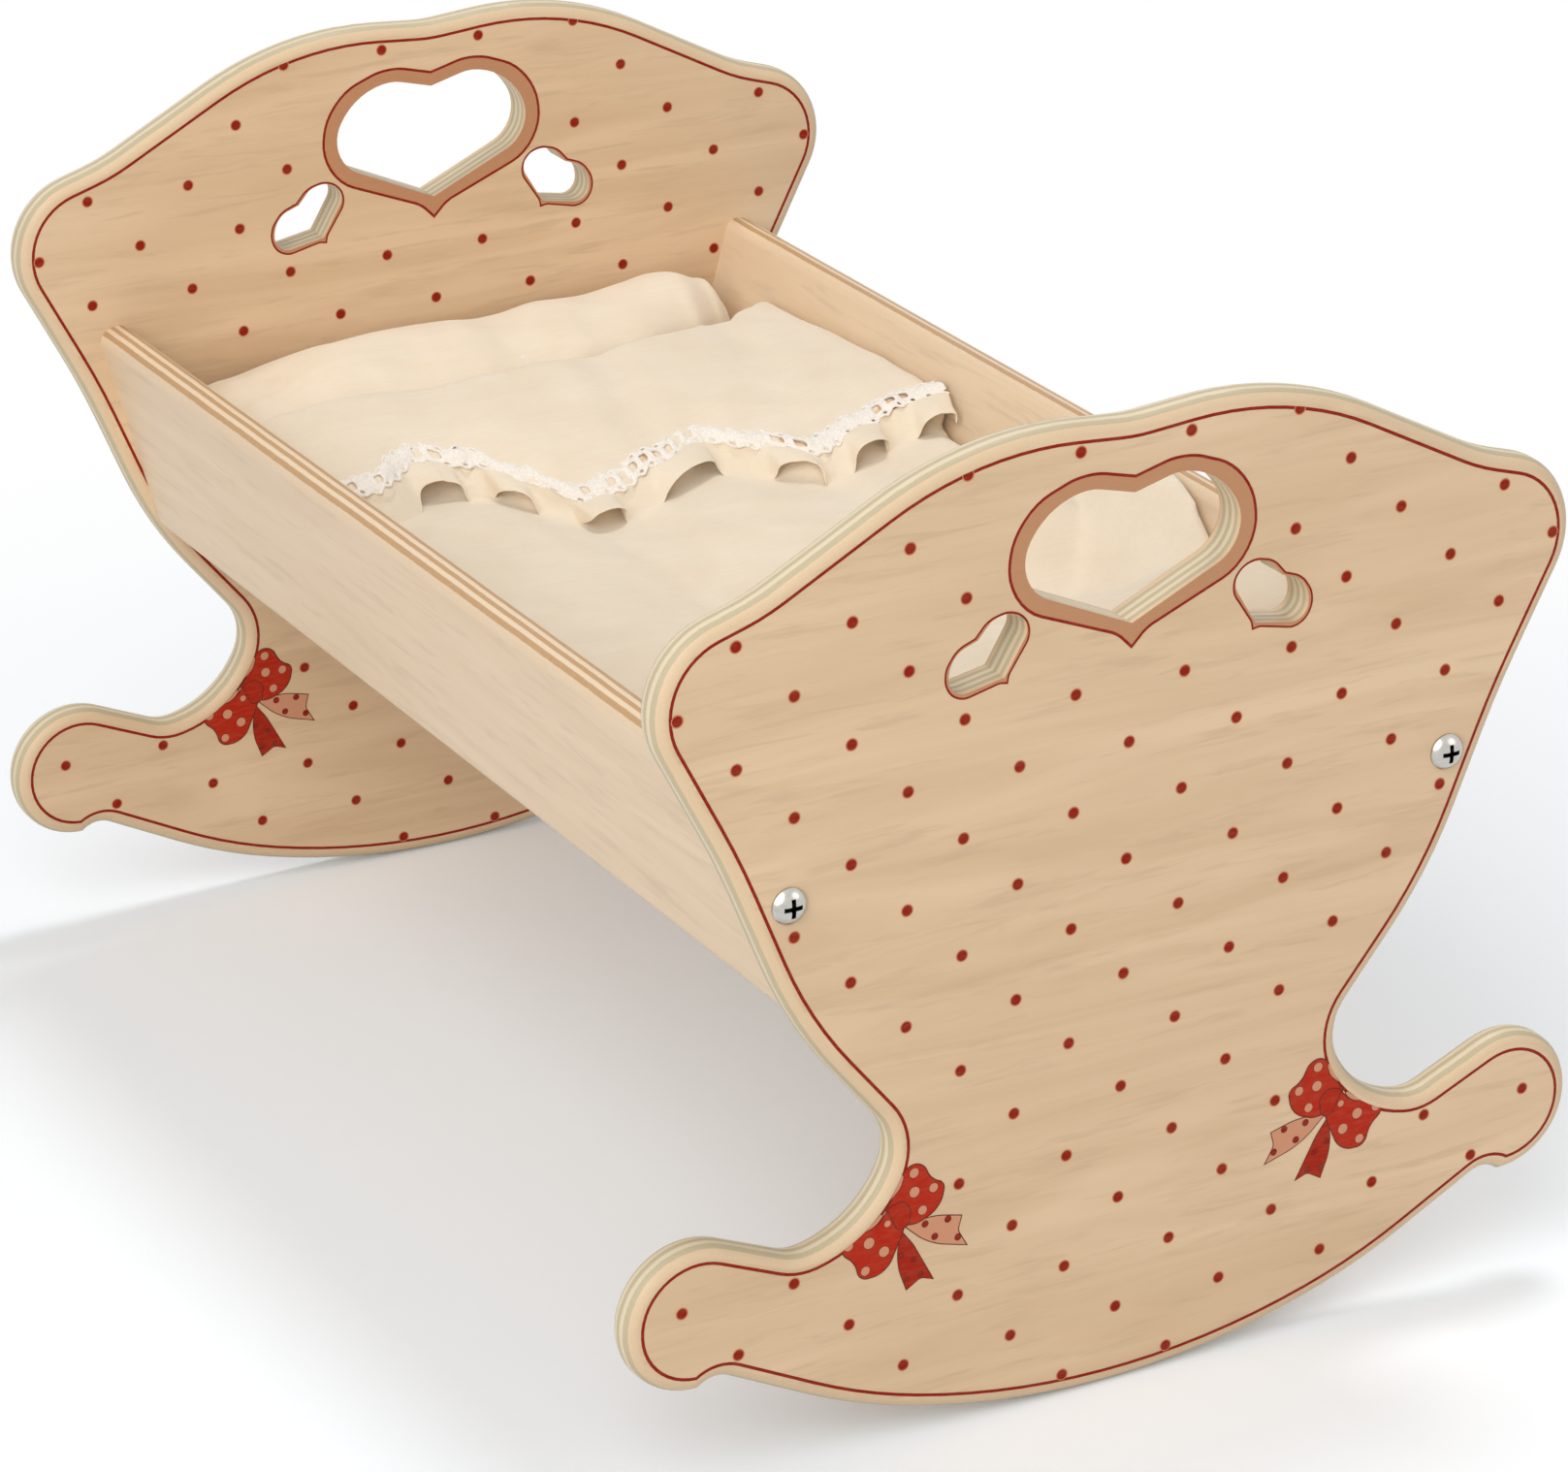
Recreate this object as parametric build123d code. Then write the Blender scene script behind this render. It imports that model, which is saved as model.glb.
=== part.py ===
from build123d import *
import os
from math import acos, atan2, cos, degrees, hypot, radians, sin, tan

os.makedirs("parts", exist_ok=True)

# A doll cradle of plywood with its bedding, in millimetres. X runs across the cradle, +Y from the
# foot to the head and +Z up. The origin is under its middle, at the height of the floor.

# The plywood boards
inner_length = 479.0        # between the two end panels
panel_thickness = 12.0
panel_height = 337.4        # from the floor to the two crests of an end panel
panel_round = 5.0           # rounding of both faces' edges
side_thickness = 12.0
side_slant = 85.0           # width of a side board, measured up its slope
side_round = 5.0
side_splay_angle = 15.3     # how far the side boards lean outwards
base_thickness = 6.0
base_lift = 7.8             # from the lower edge of the side boards to the base board
groove_depth = 5.0          # of the grooves that hold the base board
groove_play = 0.1

# The rocker under an end panel, with the horn that it runs out into
rocker_radius = 281.5
rocker_end_radius = 206.0
rocker_flat_angle = 15.7    # from the middle of the rocker to its tighter ends
ramp_angle = 27.35          # slope of the straight stretch before the horn
ramp_length = 30.45
notch_radius = 9.9
notch_start_angle = 131.7
horn_radius = 25.5
horn_end_angle = 271.6

# The rest of the panel's left edge from the dip between the crests down to the waist. Each row is
# a corner across and up, as shares of the half width and the height, and the share of the height
# that rounds it.
dip_shares = (0.9941, 0.178)
edge_shares = (
    (0.3181, 1.0080, 0.3758),
    (0.7354, 0.8921, 0.2137),
    (1.0072, 0.8488, 0.0857),
    (0.8017, 0.6393, 0.8986),
    (0.6652, 0.4624, 0.4742),
    (0.4485, 0.3210, 0.0590),
)
# The two corners between the waist and the horn, measured from the horn's centre as shares of its
# radius, with the share of the height that rounds each
valley_shares = (
    (2.314, 0.655, 0.1126),
    (1.412, 0.478, 0.0504),
)
corner_room_share = 0.995   # how much of an edge the roundings at its two ends may take

# Heart cut-outs
heart_width = 78.8
heart_rise_share = 0.8663   # height of its centre, as a share of the panel's height
small_heart_share = 0.40    # size of the small hearts beside the large one
small_heart_shares = (0.286, 0.7922)
small_heart_angle = 34.6
# Half of a heart from its cusp to its tip: across, up and rounding as shares of its width
heart_shares = (
    (0.0000, 0.2449, 0.0),
    (0.2030, 0.2982, 0.2145),
    (0.4010, 0.2602, 0.3147),
    (0.5736, -0.0457, 0.1840),
    (0.0000, -0.3046, 0.0),
)
heart_ease = 0.6            # broken edge of the cut-outs

# Where the lower outer corner of a side board meets the panel, as shares of half width and height
side_foot_shares = (0.6462, 0.4594)

# Screws and dowels at the ends of the side boards
screw_rise = 44.5           # up the slope from the side board's lower edge
screw_diameter = 5.0
screw_length = 50.0
screw_point = 6.0
screw_play = 0.1
head_diameter = 12.3
head_height = 3.3
head_rim = 0.9
recess_length = 6.4
recess_width = 1.5
recess_depth = 2.2
dowel_spacing = 22.5        # from the screw to the dowel above it and the one below
dowel_diameter = 6.0
dowel_in_panel = 8.0
dowel_in_side = 20.0
dowel_chamfer = 0.8
dowel_play = 0.1
dowel_end_play = 0.5

# Bedding
rest_gap = 0.3              # between soft pieces that lie on each other
side_gap = 0.6              # between the coverlet and the side boards
mattress_height = 21.0
mattress_crown = 1.6
mattress_play = 2.6         # to the end panels and the side boards
mattress_corner = 4.5
pillow_front = 169.0        # distance of its front edge from the middle of the cradle
pillow_play = 3.0           # to the head panel
pillow_height = 33.0
pillow_length = 222.0
case_thickness = 1.4
case_gap = 0.4
case_overhang = 9.0         # how far the case reaches past the pillow at its open end
coverlet_play = 1.5         # to the foot panel
coverlet_fold = 166.0       # distance of the fold from the middle of the cradle
coverlet_height = 35.0      # height of the fold
turn_down = 92.0            # length that is folded back
corner_setback = 36.0       # how far the fold's right corner is pulled back along the pillow
layer_thickness = 10.0
slit_gap = 0.8              # between the folded layers
foot_height = 7.0           # thickness of its foot end
ruffle_depth = 13.0
ruffle_thickness = 1.2
ruffle_pitch = 21.0
lace_width = 12.0
lace_thickness = 0.9
strip_gap = 0.75            # between the coverlet and the ruffle or lace

# The coverlet's sections from its left to its right side. Each row has the place across the bed
# and, as shares of the sizes above: the turn down, the set-back of the fold, the height of the
# turned-down edge, of the fold and of the layer under the edge.
coverlet_shares = (
    (-1.00, 0.98, 0.00, 0.59, 0.82, 0.29),
    (-0.80, 0.85, 0.00, 0.62, 0.95, 0.29),
    (-0.58, 0.68, 0.00, 0.63, 1.00, 0.30),
    (-0.36, 0.84, 0.00, 0.58, 1.00, 0.26),
    (-0.19, 1.22, 0.00, 0.33, 0.99, 0.12),
    (0.00, 1.08, 0.00, 0.50, 0.98, 0.20),
    (0.18, 0.96, 0.00, 0.62, 1.00, 0.30),
    (0.46, 1.18, 0.08, 0.61, 0.98, 0.30),
    (0.74, 1.09, 0.42, 0.70, 0.90, 0.40),
    (1.00, 1.04, 1.00, 0.90, 0.73, 0.60),
)
# The pillow's sections from its open left end to its closed right end: the place along it, the
# height, and the set-back of its front and of its back as shares of the corner's set-back
pillow_shares = (
    (0.000, 0.55, 0.05, 0.06),
    (0.075, 0.72, 0.00, 0.00),
    (0.220, 0.98, 0.02, 0.05),
    (0.500, 1.00, 0.05, 0.06),
    (0.740, 0.98, 0.20, 0.04),
    (0.885, 0.86, 0.55, 0.00),
    (0.960, 0.66, 0.84, 0.03),
    (1.000, 0.40, 1.00, 0.20),
)
bulge_share = 0.16          # how far a pillow's or fold's front bulges, as a share of its height
shoulder_share = 0.72       # height at which the front runs over into the top
arc_share = 0.4             # how far a rounded edge bulges, as a share of its height
stitch_count = 4            # sections of the ruffle for each wave
amplitude_share = 0.33
strip_reach_share = 0.985   # how much of the bed's width the ruffle and the lace span
overrun = 2.0               # how far cutting tools reach past what they cut


def polar(centre, radius, angle):
    """A point on a circle, in the plane of a panel."""
    return (centre[0] + radius * cos(radians(angle)), centre[1] + radius * sin(radians(angle)))


# The rocker and the horn follow one another from the middle of the floor line to the horn
rocker_drop = rocker_radius - rocker_end_radius
flat_end = polar((0, rocker_radius), -rocker_radius, 90 - rocker_flat_angle)
end_centre = polar((0, rocker_radius), -rocker_drop, 90 - rocker_flat_angle)
ramp_start = polar(end_centre, -rocker_end_radius, 90 - ramp_angle)
ramp_end = polar(ramp_start, -ramp_length, -ramp_angle)
notch_centre = polar(ramp_end, -notch_radius, 90 - ramp_angle)
horn_corner = polar(notch_centre, notch_radius, notch_start_angle)
horn_centre = polar(horn_corner, -horn_radius, horn_end_angle)
half_width = horn_radius - horn_centre[0]

# The side boards and the space between them
lean = radians(side_splay_angle)
side_foot = (side_foot_shares[0] * half_width, side_foot_shares[1] * panel_height)
inner_foot = (
    side_foot[0] - side_thickness * cos(lean),
    side_foot[1] + side_thickness * sin(lean),
)
half_length = inner_length / 2
base_bottom = inner_foot[1] + base_lift
base_top = base_bottom + base_thickness
mattress_bottom = base_top + rest_gap
mattress_top = mattress_bottom + mattress_height
bed_level = mattress_top + rest_gap


def inner_half(z):
    """Half the width between the two side boards at a height."""
    return inner_foot[0] + (z - inner_foot[1]) * tan(lean)


def side_point(rise):
    """A point on the middle plane of the right side board, at a distance up its slope."""
    middle = side_thickness / 2
    return (
        side_foot[0] - middle * cos(lean) + rise * sin(lean),
        side_foot[1] + middle * sin(lean) + rise * cos(lean),
    )


def fitted_radii(points, radii):
    """The corner radii, made smaller where two roundings would not fit on one edge."""
    vectors = [Vector(x, z) for x, z in points]
    reach = [0]
    for before, corner, after, radius in zip(vectors, vectors[1:], vectors[2:], radii):
        turn = radians((corner - before).get_angle(after - corner))
        reach.append(radius * tan(turn / 2))
    reach.append(0)
    room = []
    for start, end, first, second in zip(vectors, vectors[1:], reach, reach[1:]):
        room.append(corner_room_share * (end - start).length / (first + second))
    return [radius * min(1, *pair) for radius, pair in zip(radii, zip(room, room[1:]))]


def touch_point(point, centre, radius):
    """Where a line from a point touches the upper side of a circle."""
    across = point[0] - centre[0]
    up = point[1] - centre[1]
    angle = degrees(atan2(up, across) + acos(radius / hypot(across, up)))
    return polar(centre, radius, angle), angle


def panel_face():
    """The outline of an end panel: two crests, shoulders, a waist, two horns and the rocker."""
    left = [(-x * half_width, z * panel_height) for x, z, r in edge_shares]
    left += [
        (horn_centre[0] + x * horn_radius, horn_centre[1] + z * horn_radius)
        for x, z, r in valley_shares
    ]
    touch, touch_angle = touch_point(left[-1], horn_centre, horn_radius)
    radii = [r * panel_height for x, z, r in edge_shares + valley_shares]
    dip = (0, dip_shares[0] * panel_height)
    right = [(-x, z) for x, z in reversed([*left, touch])]
    points = [*right, dip, *left, touch]
    rounds = [*reversed(radii), dip_shares[1] * panel_height, *radii]
    top = FilletPolyline(*points, radius=fitted_radii(points, rounds))

    horn_middle = polar(horn_centre, horn_radius, (touch_angle + horn_end_angle) / 2)
    notch_end_angle = 90 - ramp_angle
    notch_middle = polar(notch_centre, notch_radius, (notch_start_angle + notch_end_angle) / 2)
    end_middle_angle = 90 - (ramp_angle + rocker_flat_angle) / 2
    foot = Curve() + [
        ThreePointArc(touch, horn_middle, horn_corner),
        ThreePointArc(horn_corner, notch_middle, ramp_end),
        Line(ramp_end, ramp_start),
        ThreePointArc(ramp_start, polar(end_centre, -rocker_end_radius, end_middle_angle), flat_end),
    ]
    floor = ThreePointArc(flat_end, (0, 0), (-flat_end[0], flat_end[1]))
    return make_face([*top.edges(), *foot.edges(), *mirror(foot, Plane.YZ).edges(), floor])


def heart_face(width):
    """A heart with round shoulders, a soft cusp and a sharp tip."""
    half = [(x * width, z * width) for x, z, r in heart_shares]
    right = FilletPolyline(*half, radius=[r * width for x, z, r in heart_shares[1:-1]])
    return make_face([*right.edges(), *mirror(right, Plane.YZ).edges()])


def cut_hearts(board):
    """A large heart between two small ones that lean towards its tip, with broken edges."""
    rise = heart_rise_share * panel_height
    small_x = small_heart_shares[0] * half_width
    small_z = small_heart_shares[1] * panel_height
    places = [Pos(0, rise) * heart_face(heart_width)]
    for side in (1, -1):
        turned = Rot(0, 0, -side * small_heart_angle) * heart_face(heart_width * small_heart_share)
        places.append(Pos(side * small_x, small_z) * turned)
    for face in places:
        board -= Pos(0, 0, -overrun) * extrude(face, panel_thickness + 2 * overrun, dir=(0, 0, 1))
    return board


def along_y(shape, place, y):
    """A shape made along Z, laid along +Y with its zero at a place in the panel's plane."""
    return Pos(place[0], y, place[1]) * Rot(-90, 0, 0) * shape


def corner_places():
    """The screw's place and the two dowels' places at the end of the right side board."""
    return (
        side_point(screw_rise),
        (side_point(screw_rise - dowel_spacing), side_point(screw_rise + dowel_spacing)),
    )


def panel_joinery():
    """What is cut from the foot panel's right half: screw hole, dowel holes, base board groove."""
    screw_place, dowel_places = corner_places()
    bore = Cylinder(screw_diameter / 2 + screw_play, panel_thickness + 2 * overrun)
    tools = [along_y(bore, screw_place, -half_length - panel_thickness / 2)]
    depth = dowel_in_panel + dowel_end_play
    socket = Cylinder(dowel_diameter / 2 + dowel_play, depth)
    tools += [along_y(socket, place, -half_length - depth / 2) for place in dowel_places]
    return tools


def base_half_width():
    """Half the width of the base board, with its edges in the side boards' grooves."""
    return inner_half(base_bottom) + groove_depth


def base_slot(play):
    """The space of the base board, with play all round."""
    box = Box(
        2 * (base_half_width() + play),
        2 * (half_length + groove_depth + play),
        base_thickness + 2 * play,
    )
    return Pos(0, 0, (base_bottom + base_top) / 2) * box


def foot_panel():
    """The end panel at the foot, with its grooves and holes on the inner face."""
    board = extrude(panel_face(), panel_thickness, dir=(0, 0, 1))
    board = fillet(board.faces().filter_by(Axis.Z).edges(), panel_round)
    board = cut_hearts(board)
    stand = Plane(origin=(0, -half_length, 0), x_dir=(1, 0, 0), z_dir=(0, -1, 0))
    board = stand * board
    for tool in panel_joinery():
        board -= tool
        board -= mirror(tool, Plane.YZ)
    return board - base_slot(groove_play)


def right_side():
    """A side board that leans outwards, with rounded long edges and a groove for the base."""
    section = Plane(
        origin=(side_foot[0], -half_length, side_foot[1]),
        x_dir=(sin(lean), 0, cos(lean)),
        z_dir=(0, 1, 0),
    )
    outline = Pos(side_slant / 2, -side_thickness / 2) * RectangleRounded(
        side_slant, side_thickness, side_round
    )
    board = extrude(section * outline, inner_length, dir=(0, 1, 0))
    board -= base_slot(groove_play)
    screw_place, dowel_places = corner_places()
    screw_depth = screw_length - panel_thickness + dowel_end_play
    dowel_depth = dowel_in_side + dowel_end_play
    pilot = Cylinder(screw_diameter / 2 + screw_play, screw_depth)
    socket = Cylinder(dowel_diameter / 2 + dowel_play, dowel_depth)
    for end in (-1, 1):
        board -= along_y(pilot, screw_place, end * (half_length - screw_depth / 2))
        for place in dowel_places:
            board -= along_y(socket, place, end * (half_length - dowel_depth / 2))
    return board


def base_board():
    """The thin board under the bedding."""
    return base_slot(0)


def screw():
    """A wood screw along +Z with its head's underside at zero, a domed head and a cross recess."""
    shank = screw_diameter / 2
    rim = head_diameter / 2
    profile = Curve() + [
        Polyline(
            (0, -head_height),
            (0, screw_length),
            (shank, screw_length - screw_point),
            (shank, 0),
            (rim, 0),
            (rim, -head_rim),
        ),
        ThreePointArc(
            (rim, -head_rim),
            (rim * cos(radians(45)), -head_rim - (head_height - head_rim) * sin(radians(45))),
            (0, -head_height),
        ),
    ]
    body = revolve(Plane.XZ * make_face(profile.edges()), Axis.Z)
    for turn in (0, 90):
        slot = Rot(0, 0, turn) * Box(recess_length, recess_width, 2 * recess_depth)
        body -= Pos(0, 0, -head_height) * slot
    return body


def foot_screw():
    """The screw at the foot end of the right side board."""
    screw_place, dowel_places = corner_places()
    return along_y(screw(), screw_place, -half_length - panel_thickness)


def foot_dowels():
    """The two dowels at the foot end of the right side board."""
    length = dowel_in_panel + dowel_in_side
    pin = Cylinder(dowel_diameter / 2, length)
    pin = chamfer(pin.edges().filter_by(GeomType.CIRCLE), dowel_chamfer)
    middle = -half_length + (dowel_in_side - dowel_in_panel) / 2
    screw_place, dowel_places = corner_places()
    return Compound([along_y(pin, place, middle).solid() for place in dowel_places])


def mattress():
    """A thin filled mattress with bulging sides, a slight crown and rounded ends."""
    low = mattress_bottom
    high = mattress_top - mattress_crown
    bottom_half = inner_half(low) - mattress_play - mattress_corner
    top_half = inner_half(high) - mattress_play - mattress_corner
    side_half = inner_half(low) - mattress_play
    middle = (low + high) / 2
    section = make_face(
        [
            Line((-bottom_half, 0, low), (bottom_half, 0, low)),
            ThreePointArc((bottom_half, 0, low), (side_half, 0, middle), (top_half, 0, high)),
            ThreePointArc((top_half, 0, high), (0, 0, mattress_top), (-top_half, 0, high)),
            ThreePointArc((-top_half, 0, high), (-side_half, 0, middle), (-bottom_half, 0, low)),
        ]
    )
    reach = half_length - mattress_play
    body = Pos(0, -reach, 0) * extrude(section, 2 * reach, dir=(0, 1, 0))
    ends = body.faces().sort_by(Axis.Y)
    return fillet([*ends[0].edges(), *ends[-1].edges()], mattress_corner)


def pillow_section(x, height, front, back, grow):
    """A slice of the pillow along the bed: flat below, bulging at the front and the back."""
    low = bed_level + case_thickness + case_gap - grow
    top = low + height + 2 * grow
    bulge = bulge_share * height
    shoulder = low + shoulder_share * (top - low)
    waist = low + (shoulder - low) / 2
    near = front - grow
    far = back + grow
    middle = (near + far) / 2
    return make_face(
        [
            Line((x, near + bulge, low), (x, far - bulge, low)),
            ThreePointArc((x, far - bulge, low), (x, far, waist), (x, far - bulge, shoulder)),
            ThreePointArc((x, far - bulge, shoulder), (x, middle, top), (x, near + bulge, shoulder)),
            ThreePointArc((x, near + bulge, shoulder), (x, near, waist), (x, near + bulge, low)),
        ]
    )


def pillow_form(grow, left_reach, right_reach):
    """The pillow's form, grown all round and stretched at its ends."""
    wall = case_thickness + case_gap
    front = pillow_front + wall
    back = half_length - pillow_play - wall
    height = pillow_height - 2 * wall
    length = pillow_length - 2 * wall + left_reach + right_reach
    start = -pillow_length / 2 + wall - left_reach
    sections = []
    for along, tall, front_back, back_front in pillow_shares:
        sections.append(
            pillow_section(
                start + along * length,
                tall * height,
                front + front_back * corner_setback,
                back - back_front * corner_setback,
                grow,
            )
        )
    return loft(sections)


def pillow():
    """The filled pillow."""
    return pillow_form(0, -case_overhang, 0)


def pillowcase():
    """The pillow's case, open at its left end."""
    wall = case_thickness + case_gap
    outer = pillow_form(wall, wall, wall)
    cavity = pillow_form(case_gap, -case_overhang + case_gap, case_gap)
    mouth = extrude(cavity.faces().sort_by(Axis.X)[0], 2 * case_overhang, dir=(-1, 0, 0))
    return outer - cavity - mouth


def bed_point(across, y, z):
    """A point at a share of the bed's width, whose ends lie along the leaning side boards."""
    return (across * (inner_half(z) - side_gap), y, z)


def coverlet_places(row):
    """The named places of one section of the coverlet, along the bed and up."""
    across, turned, set_back, edge_up, fold_up, layer_up = row
    edge_y = coverlet_fold - turned * turn_down
    fold_y = coverlet_fold + set_back * corner_setback
    edge_z = bed_level + edge_up * coverlet_height
    fold_z = bed_level + fold_up * coverlet_height
    layer_z = bed_level + layer_up * coverlet_height
    return edge_y, fold_y, edge_z, fold_z, layer_z


def coverlet_section(row):
    """One section: a long lower layer, the fold at the head and the layer turned down on it."""
    across = row[0]
    edge_y, fold_y, edge_z, fold_z, layer_z = coverlet_places(row)
    foot_y = -half_length + coverlet_play
    foot_z = bed_level + foot_height
    bulge = bulge_share * (fold_z - bed_level)
    fold_middle = (bed_level + fold_z) / 2
    inner_y = fold_y - layer_thickness
    inner_low = bed_level + layer_thickness
    inner_high = max(fold_z - layer_thickness, inner_low + slit_gap)
    slit_z = layer_z + slit_gap
    lip = arc_share * (edge_z - slit_z)
    turn = arc_share * (inner_high - inner_low)
    foot_rounding = arc_share * foot_height

    def at(y, z):
        return bed_point(across, y, z)

    corners = {
        "foot_low": at(foot_y + foot_rounding, bed_level),
        "fold_low": at(fold_y - 2 * bulge, bed_level),
        "fold_high": at(fold_y - 2 * bulge, fold_z),
        "edge_high": at(edge_y + lip, edge_z),
        "edge_low": at(edge_y + lip, slit_z),
        "inner_high": at(inner_y - turn, inner_high),
        "inner_low": at(inner_y - turn, inner_low),
        "layer_end": at(edge_y, layer_z),
        "foot_high": at(foot_y + foot_rounding, foot_z),
    }
    flap_y = (fold_y - 2 * bulge + edge_y + lip) / 2
    flap_z = (fold_z + edge_z) / 2 + bulge / 2
    bed_y = (edge_y + foot_y) / 2
    bed_z = bed_level + (foot_height + layer_z - bed_level) / 2 - bulge / 4
    turn_z = (inner_low + inner_high) / 2
    return make_face(
        [
            Line(corners["foot_low"], corners["fold_low"]),
            ThreePointArc(corners["fold_low"], at(fold_y, fold_middle), corners["fold_high"]),
            ThreePointArc(corners["fold_high"], at(flap_y, flap_z), corners["edge_high"]),
            ThreePointArc(
                corners["edge_high"], at(edge_y, (edge_z + slit_z) / 2), corners["edge_low"]
            ),
            Line(corners["edge_low"], corners["inner_high"]),
            ThreePointArc(corners["inner_high"], at(inner_y, turn_z), corners["inner_low"]),
            Line(corners["inner_low"], corners["layer_end"]),
            ThreePointArc(corners["layer_end"], at(bed_y, bed_z), corners["foot_high"]),
            ThreePointArc(
                corners["foot_high"],
                at(foot_y, (bed_level + foot_z) / 2),
                corners["foot_low"],
            ),
        ]
    )


def row_at(across):
    """The coverlet's table read at any place across the bed, smoothly between its rows."""
    pairs = zip(coverlet_shares, coverlet_shares[1:])
    low, high = next(pair for pair in pairs if across <= pair[1][0])
    part = (across - low[0]) / (high[0] - low[0])
    eased = part * part * (3 - 2 * part)
    return (across, *[a + (b - a) * eased for a, b in zip(low[1:], high[1:])])


def strip_steps():
    """How many sections the ruffle has from one side board to the other."""
    width = 2 * inner_half(bed_level + coverlet_height / 2)
    return stitch_count * round(width / ruffle_pitch)


def coverlet():
    """The quilted coverlet, turned down at the head end."""
    steps = strip_steps() // 2
    return loft([coverlet_section(row_at(2 * step / steps - 1)) for step in range(steps + 1)])


def first_hit(cover, start, end):
    """The first point of the coverlet's surface on the way from one point to another."""
    origin = Vector(*start)
    way = Vector(*end) - origin
    hits = [point - origin for point, normal in cover.find_intersection_points(Axis(start, way))]
    ahead = [hit for hit in hits if hit.dot(way) > 0]
    return origin + min(ahead, key=lambda hit: hit.length)


def strip(cover, section):
    """A soft strip across the bed through many sections, each given its place across."""
    steps = strip_steps()
    faces = []
    for step in range(steps + 1):
        across = strip_reach_share * (2 * step / steps - 1)
        points = section(cover, across, step)
        faces.append(make_face(Polyline(*points, close=True).edges()))
    return loft(faces)


def ruffle_section(cover, across, step):
    """A slice of the ruffle, from its root at the turned-down edge to its waving free edge."""
    edge_y, fold_y, edge_z, fold_z, layer_z = coverlet_places(row_at(across))
    tall = edge_z - layer_z
    root_z = layer_z + tall / 2
    wave = amplitude_share * tall * cos(radians(360 * step / stitch_count))
    free_z = layer_z + 0.7 * tall + wave
    start = bed_point(across, edge_y - 2 * ruffle_depth, root_z)
    root = first_hit(cover, start, bed_point(across, edge_y, root_z))
    root_y = root.Y - strip_gap
    free_y = root_y - ruffle_depth
    return (
        bed_point(across, root_y, root_z),
        bed_point(across, root_y, root_z + ruffle_thickness),
        bed_point(across, free_y, free_z + ruffle_thickness),
        bed_point(across, free_y, free_z),
    )


def lace_section(cover, across, step):
    """A slice of the lace, lying on the turned-down layer just behind its edge."""
    edge_y, fold_y, edge_z, fold_z, layer_z = coverlet_places(row_at(across))
    front = edge_y + (edge_z - layer_z) / 2
    back = front + lace_width
    heights = []
    for y in (front, back):
        above = bed_point(across, y, fold_z + coverlet_height)
        heights.append(first_hit(cover, above, bed_point(across, y, edge_z)).Z + strip_gap)
    return (
        bed_point(across, front, heights[0]),
        bed_point(across, front, heights[0] + lace_thickness),
        bed_point(across, back, heights[1] + lace_thickness),
        bed_point(across, back, heights[1]),
    )


def write(name, shape):
    """One named piece of the cradle."""
    export_step(shape, f"parts/{name}.step")
    print(name, round(shape.volume, 1), shape.is_valid)


def main():
    foot = foot_panel()
    write("foot_panel", foot)
    write("head_panel", mirror(foot, Plane.XZ))

    right = right_side()
    write("right_side", right)
    write("left_side", mirror(right, Plane.YZ))
    write("base_board", base_board())

    foot_right = {"screw": foot_screw(), "dowels": foot_dowels()}
    for kind, piece in foot_right.items():
        write(f"foot_right_{kind}", piece)
        write(f"foot_left_{kind}", mirror(piece, Plane.YZ))
        write(f"head_right_{kind}", mirror(piece, Plane.XZ))
        write(f"head_left_{kind}", Rot(0, 0, 180) * piece)

    write("mattress", mattress())
    write("pillow", pillow())
    write("pillowcase", pillowcase())

    cover = coverlet()
    write("coverlet", cover)
    write("coverlet_ruffle", strip(cover, ruffle_section))
    write("lace_trim", strip(cover, lace_section))


main()
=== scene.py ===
"""A doll cradle of printed plywood with its bedding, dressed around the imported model."""

from math import atan2, cos, hypot, pi, radians, sin, tan

import bmesh
import bpy
from bpy.props import FloatProperty, FloatVectorProperty, PointerProperty
from mathutils import Matrix, Vector, noise


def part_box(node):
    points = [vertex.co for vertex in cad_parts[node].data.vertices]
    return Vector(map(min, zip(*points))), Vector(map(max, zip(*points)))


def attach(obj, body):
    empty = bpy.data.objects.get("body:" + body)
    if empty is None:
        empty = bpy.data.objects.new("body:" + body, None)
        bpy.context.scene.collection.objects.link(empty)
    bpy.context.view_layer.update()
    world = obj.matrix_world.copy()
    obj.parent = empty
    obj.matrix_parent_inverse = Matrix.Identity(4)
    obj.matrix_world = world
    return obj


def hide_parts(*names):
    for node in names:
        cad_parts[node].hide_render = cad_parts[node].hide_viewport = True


bl_info = {
    "name": "Doll Cradle",
    "version": (1, 0, 0),
    "blender": (4, 5, 0),
    "location": "View3D > Sidebar > Cradle",
    "description": "A printed plywood doll cradle with a pillow and a ruffled coverlet",
    "category": "Object",
}

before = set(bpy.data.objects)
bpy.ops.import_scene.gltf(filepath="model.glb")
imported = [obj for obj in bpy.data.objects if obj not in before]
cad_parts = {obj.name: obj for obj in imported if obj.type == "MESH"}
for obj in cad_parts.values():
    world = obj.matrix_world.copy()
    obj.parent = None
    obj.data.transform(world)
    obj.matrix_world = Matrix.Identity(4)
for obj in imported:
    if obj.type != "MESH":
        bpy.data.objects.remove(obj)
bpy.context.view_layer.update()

MM = 0.001
SEAM = 0.02 * MM  # points nearer to each other than this are one point
CAD_SEAM = 0.01 * MM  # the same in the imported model
NEARLY_ZERO = 1e-12

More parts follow.
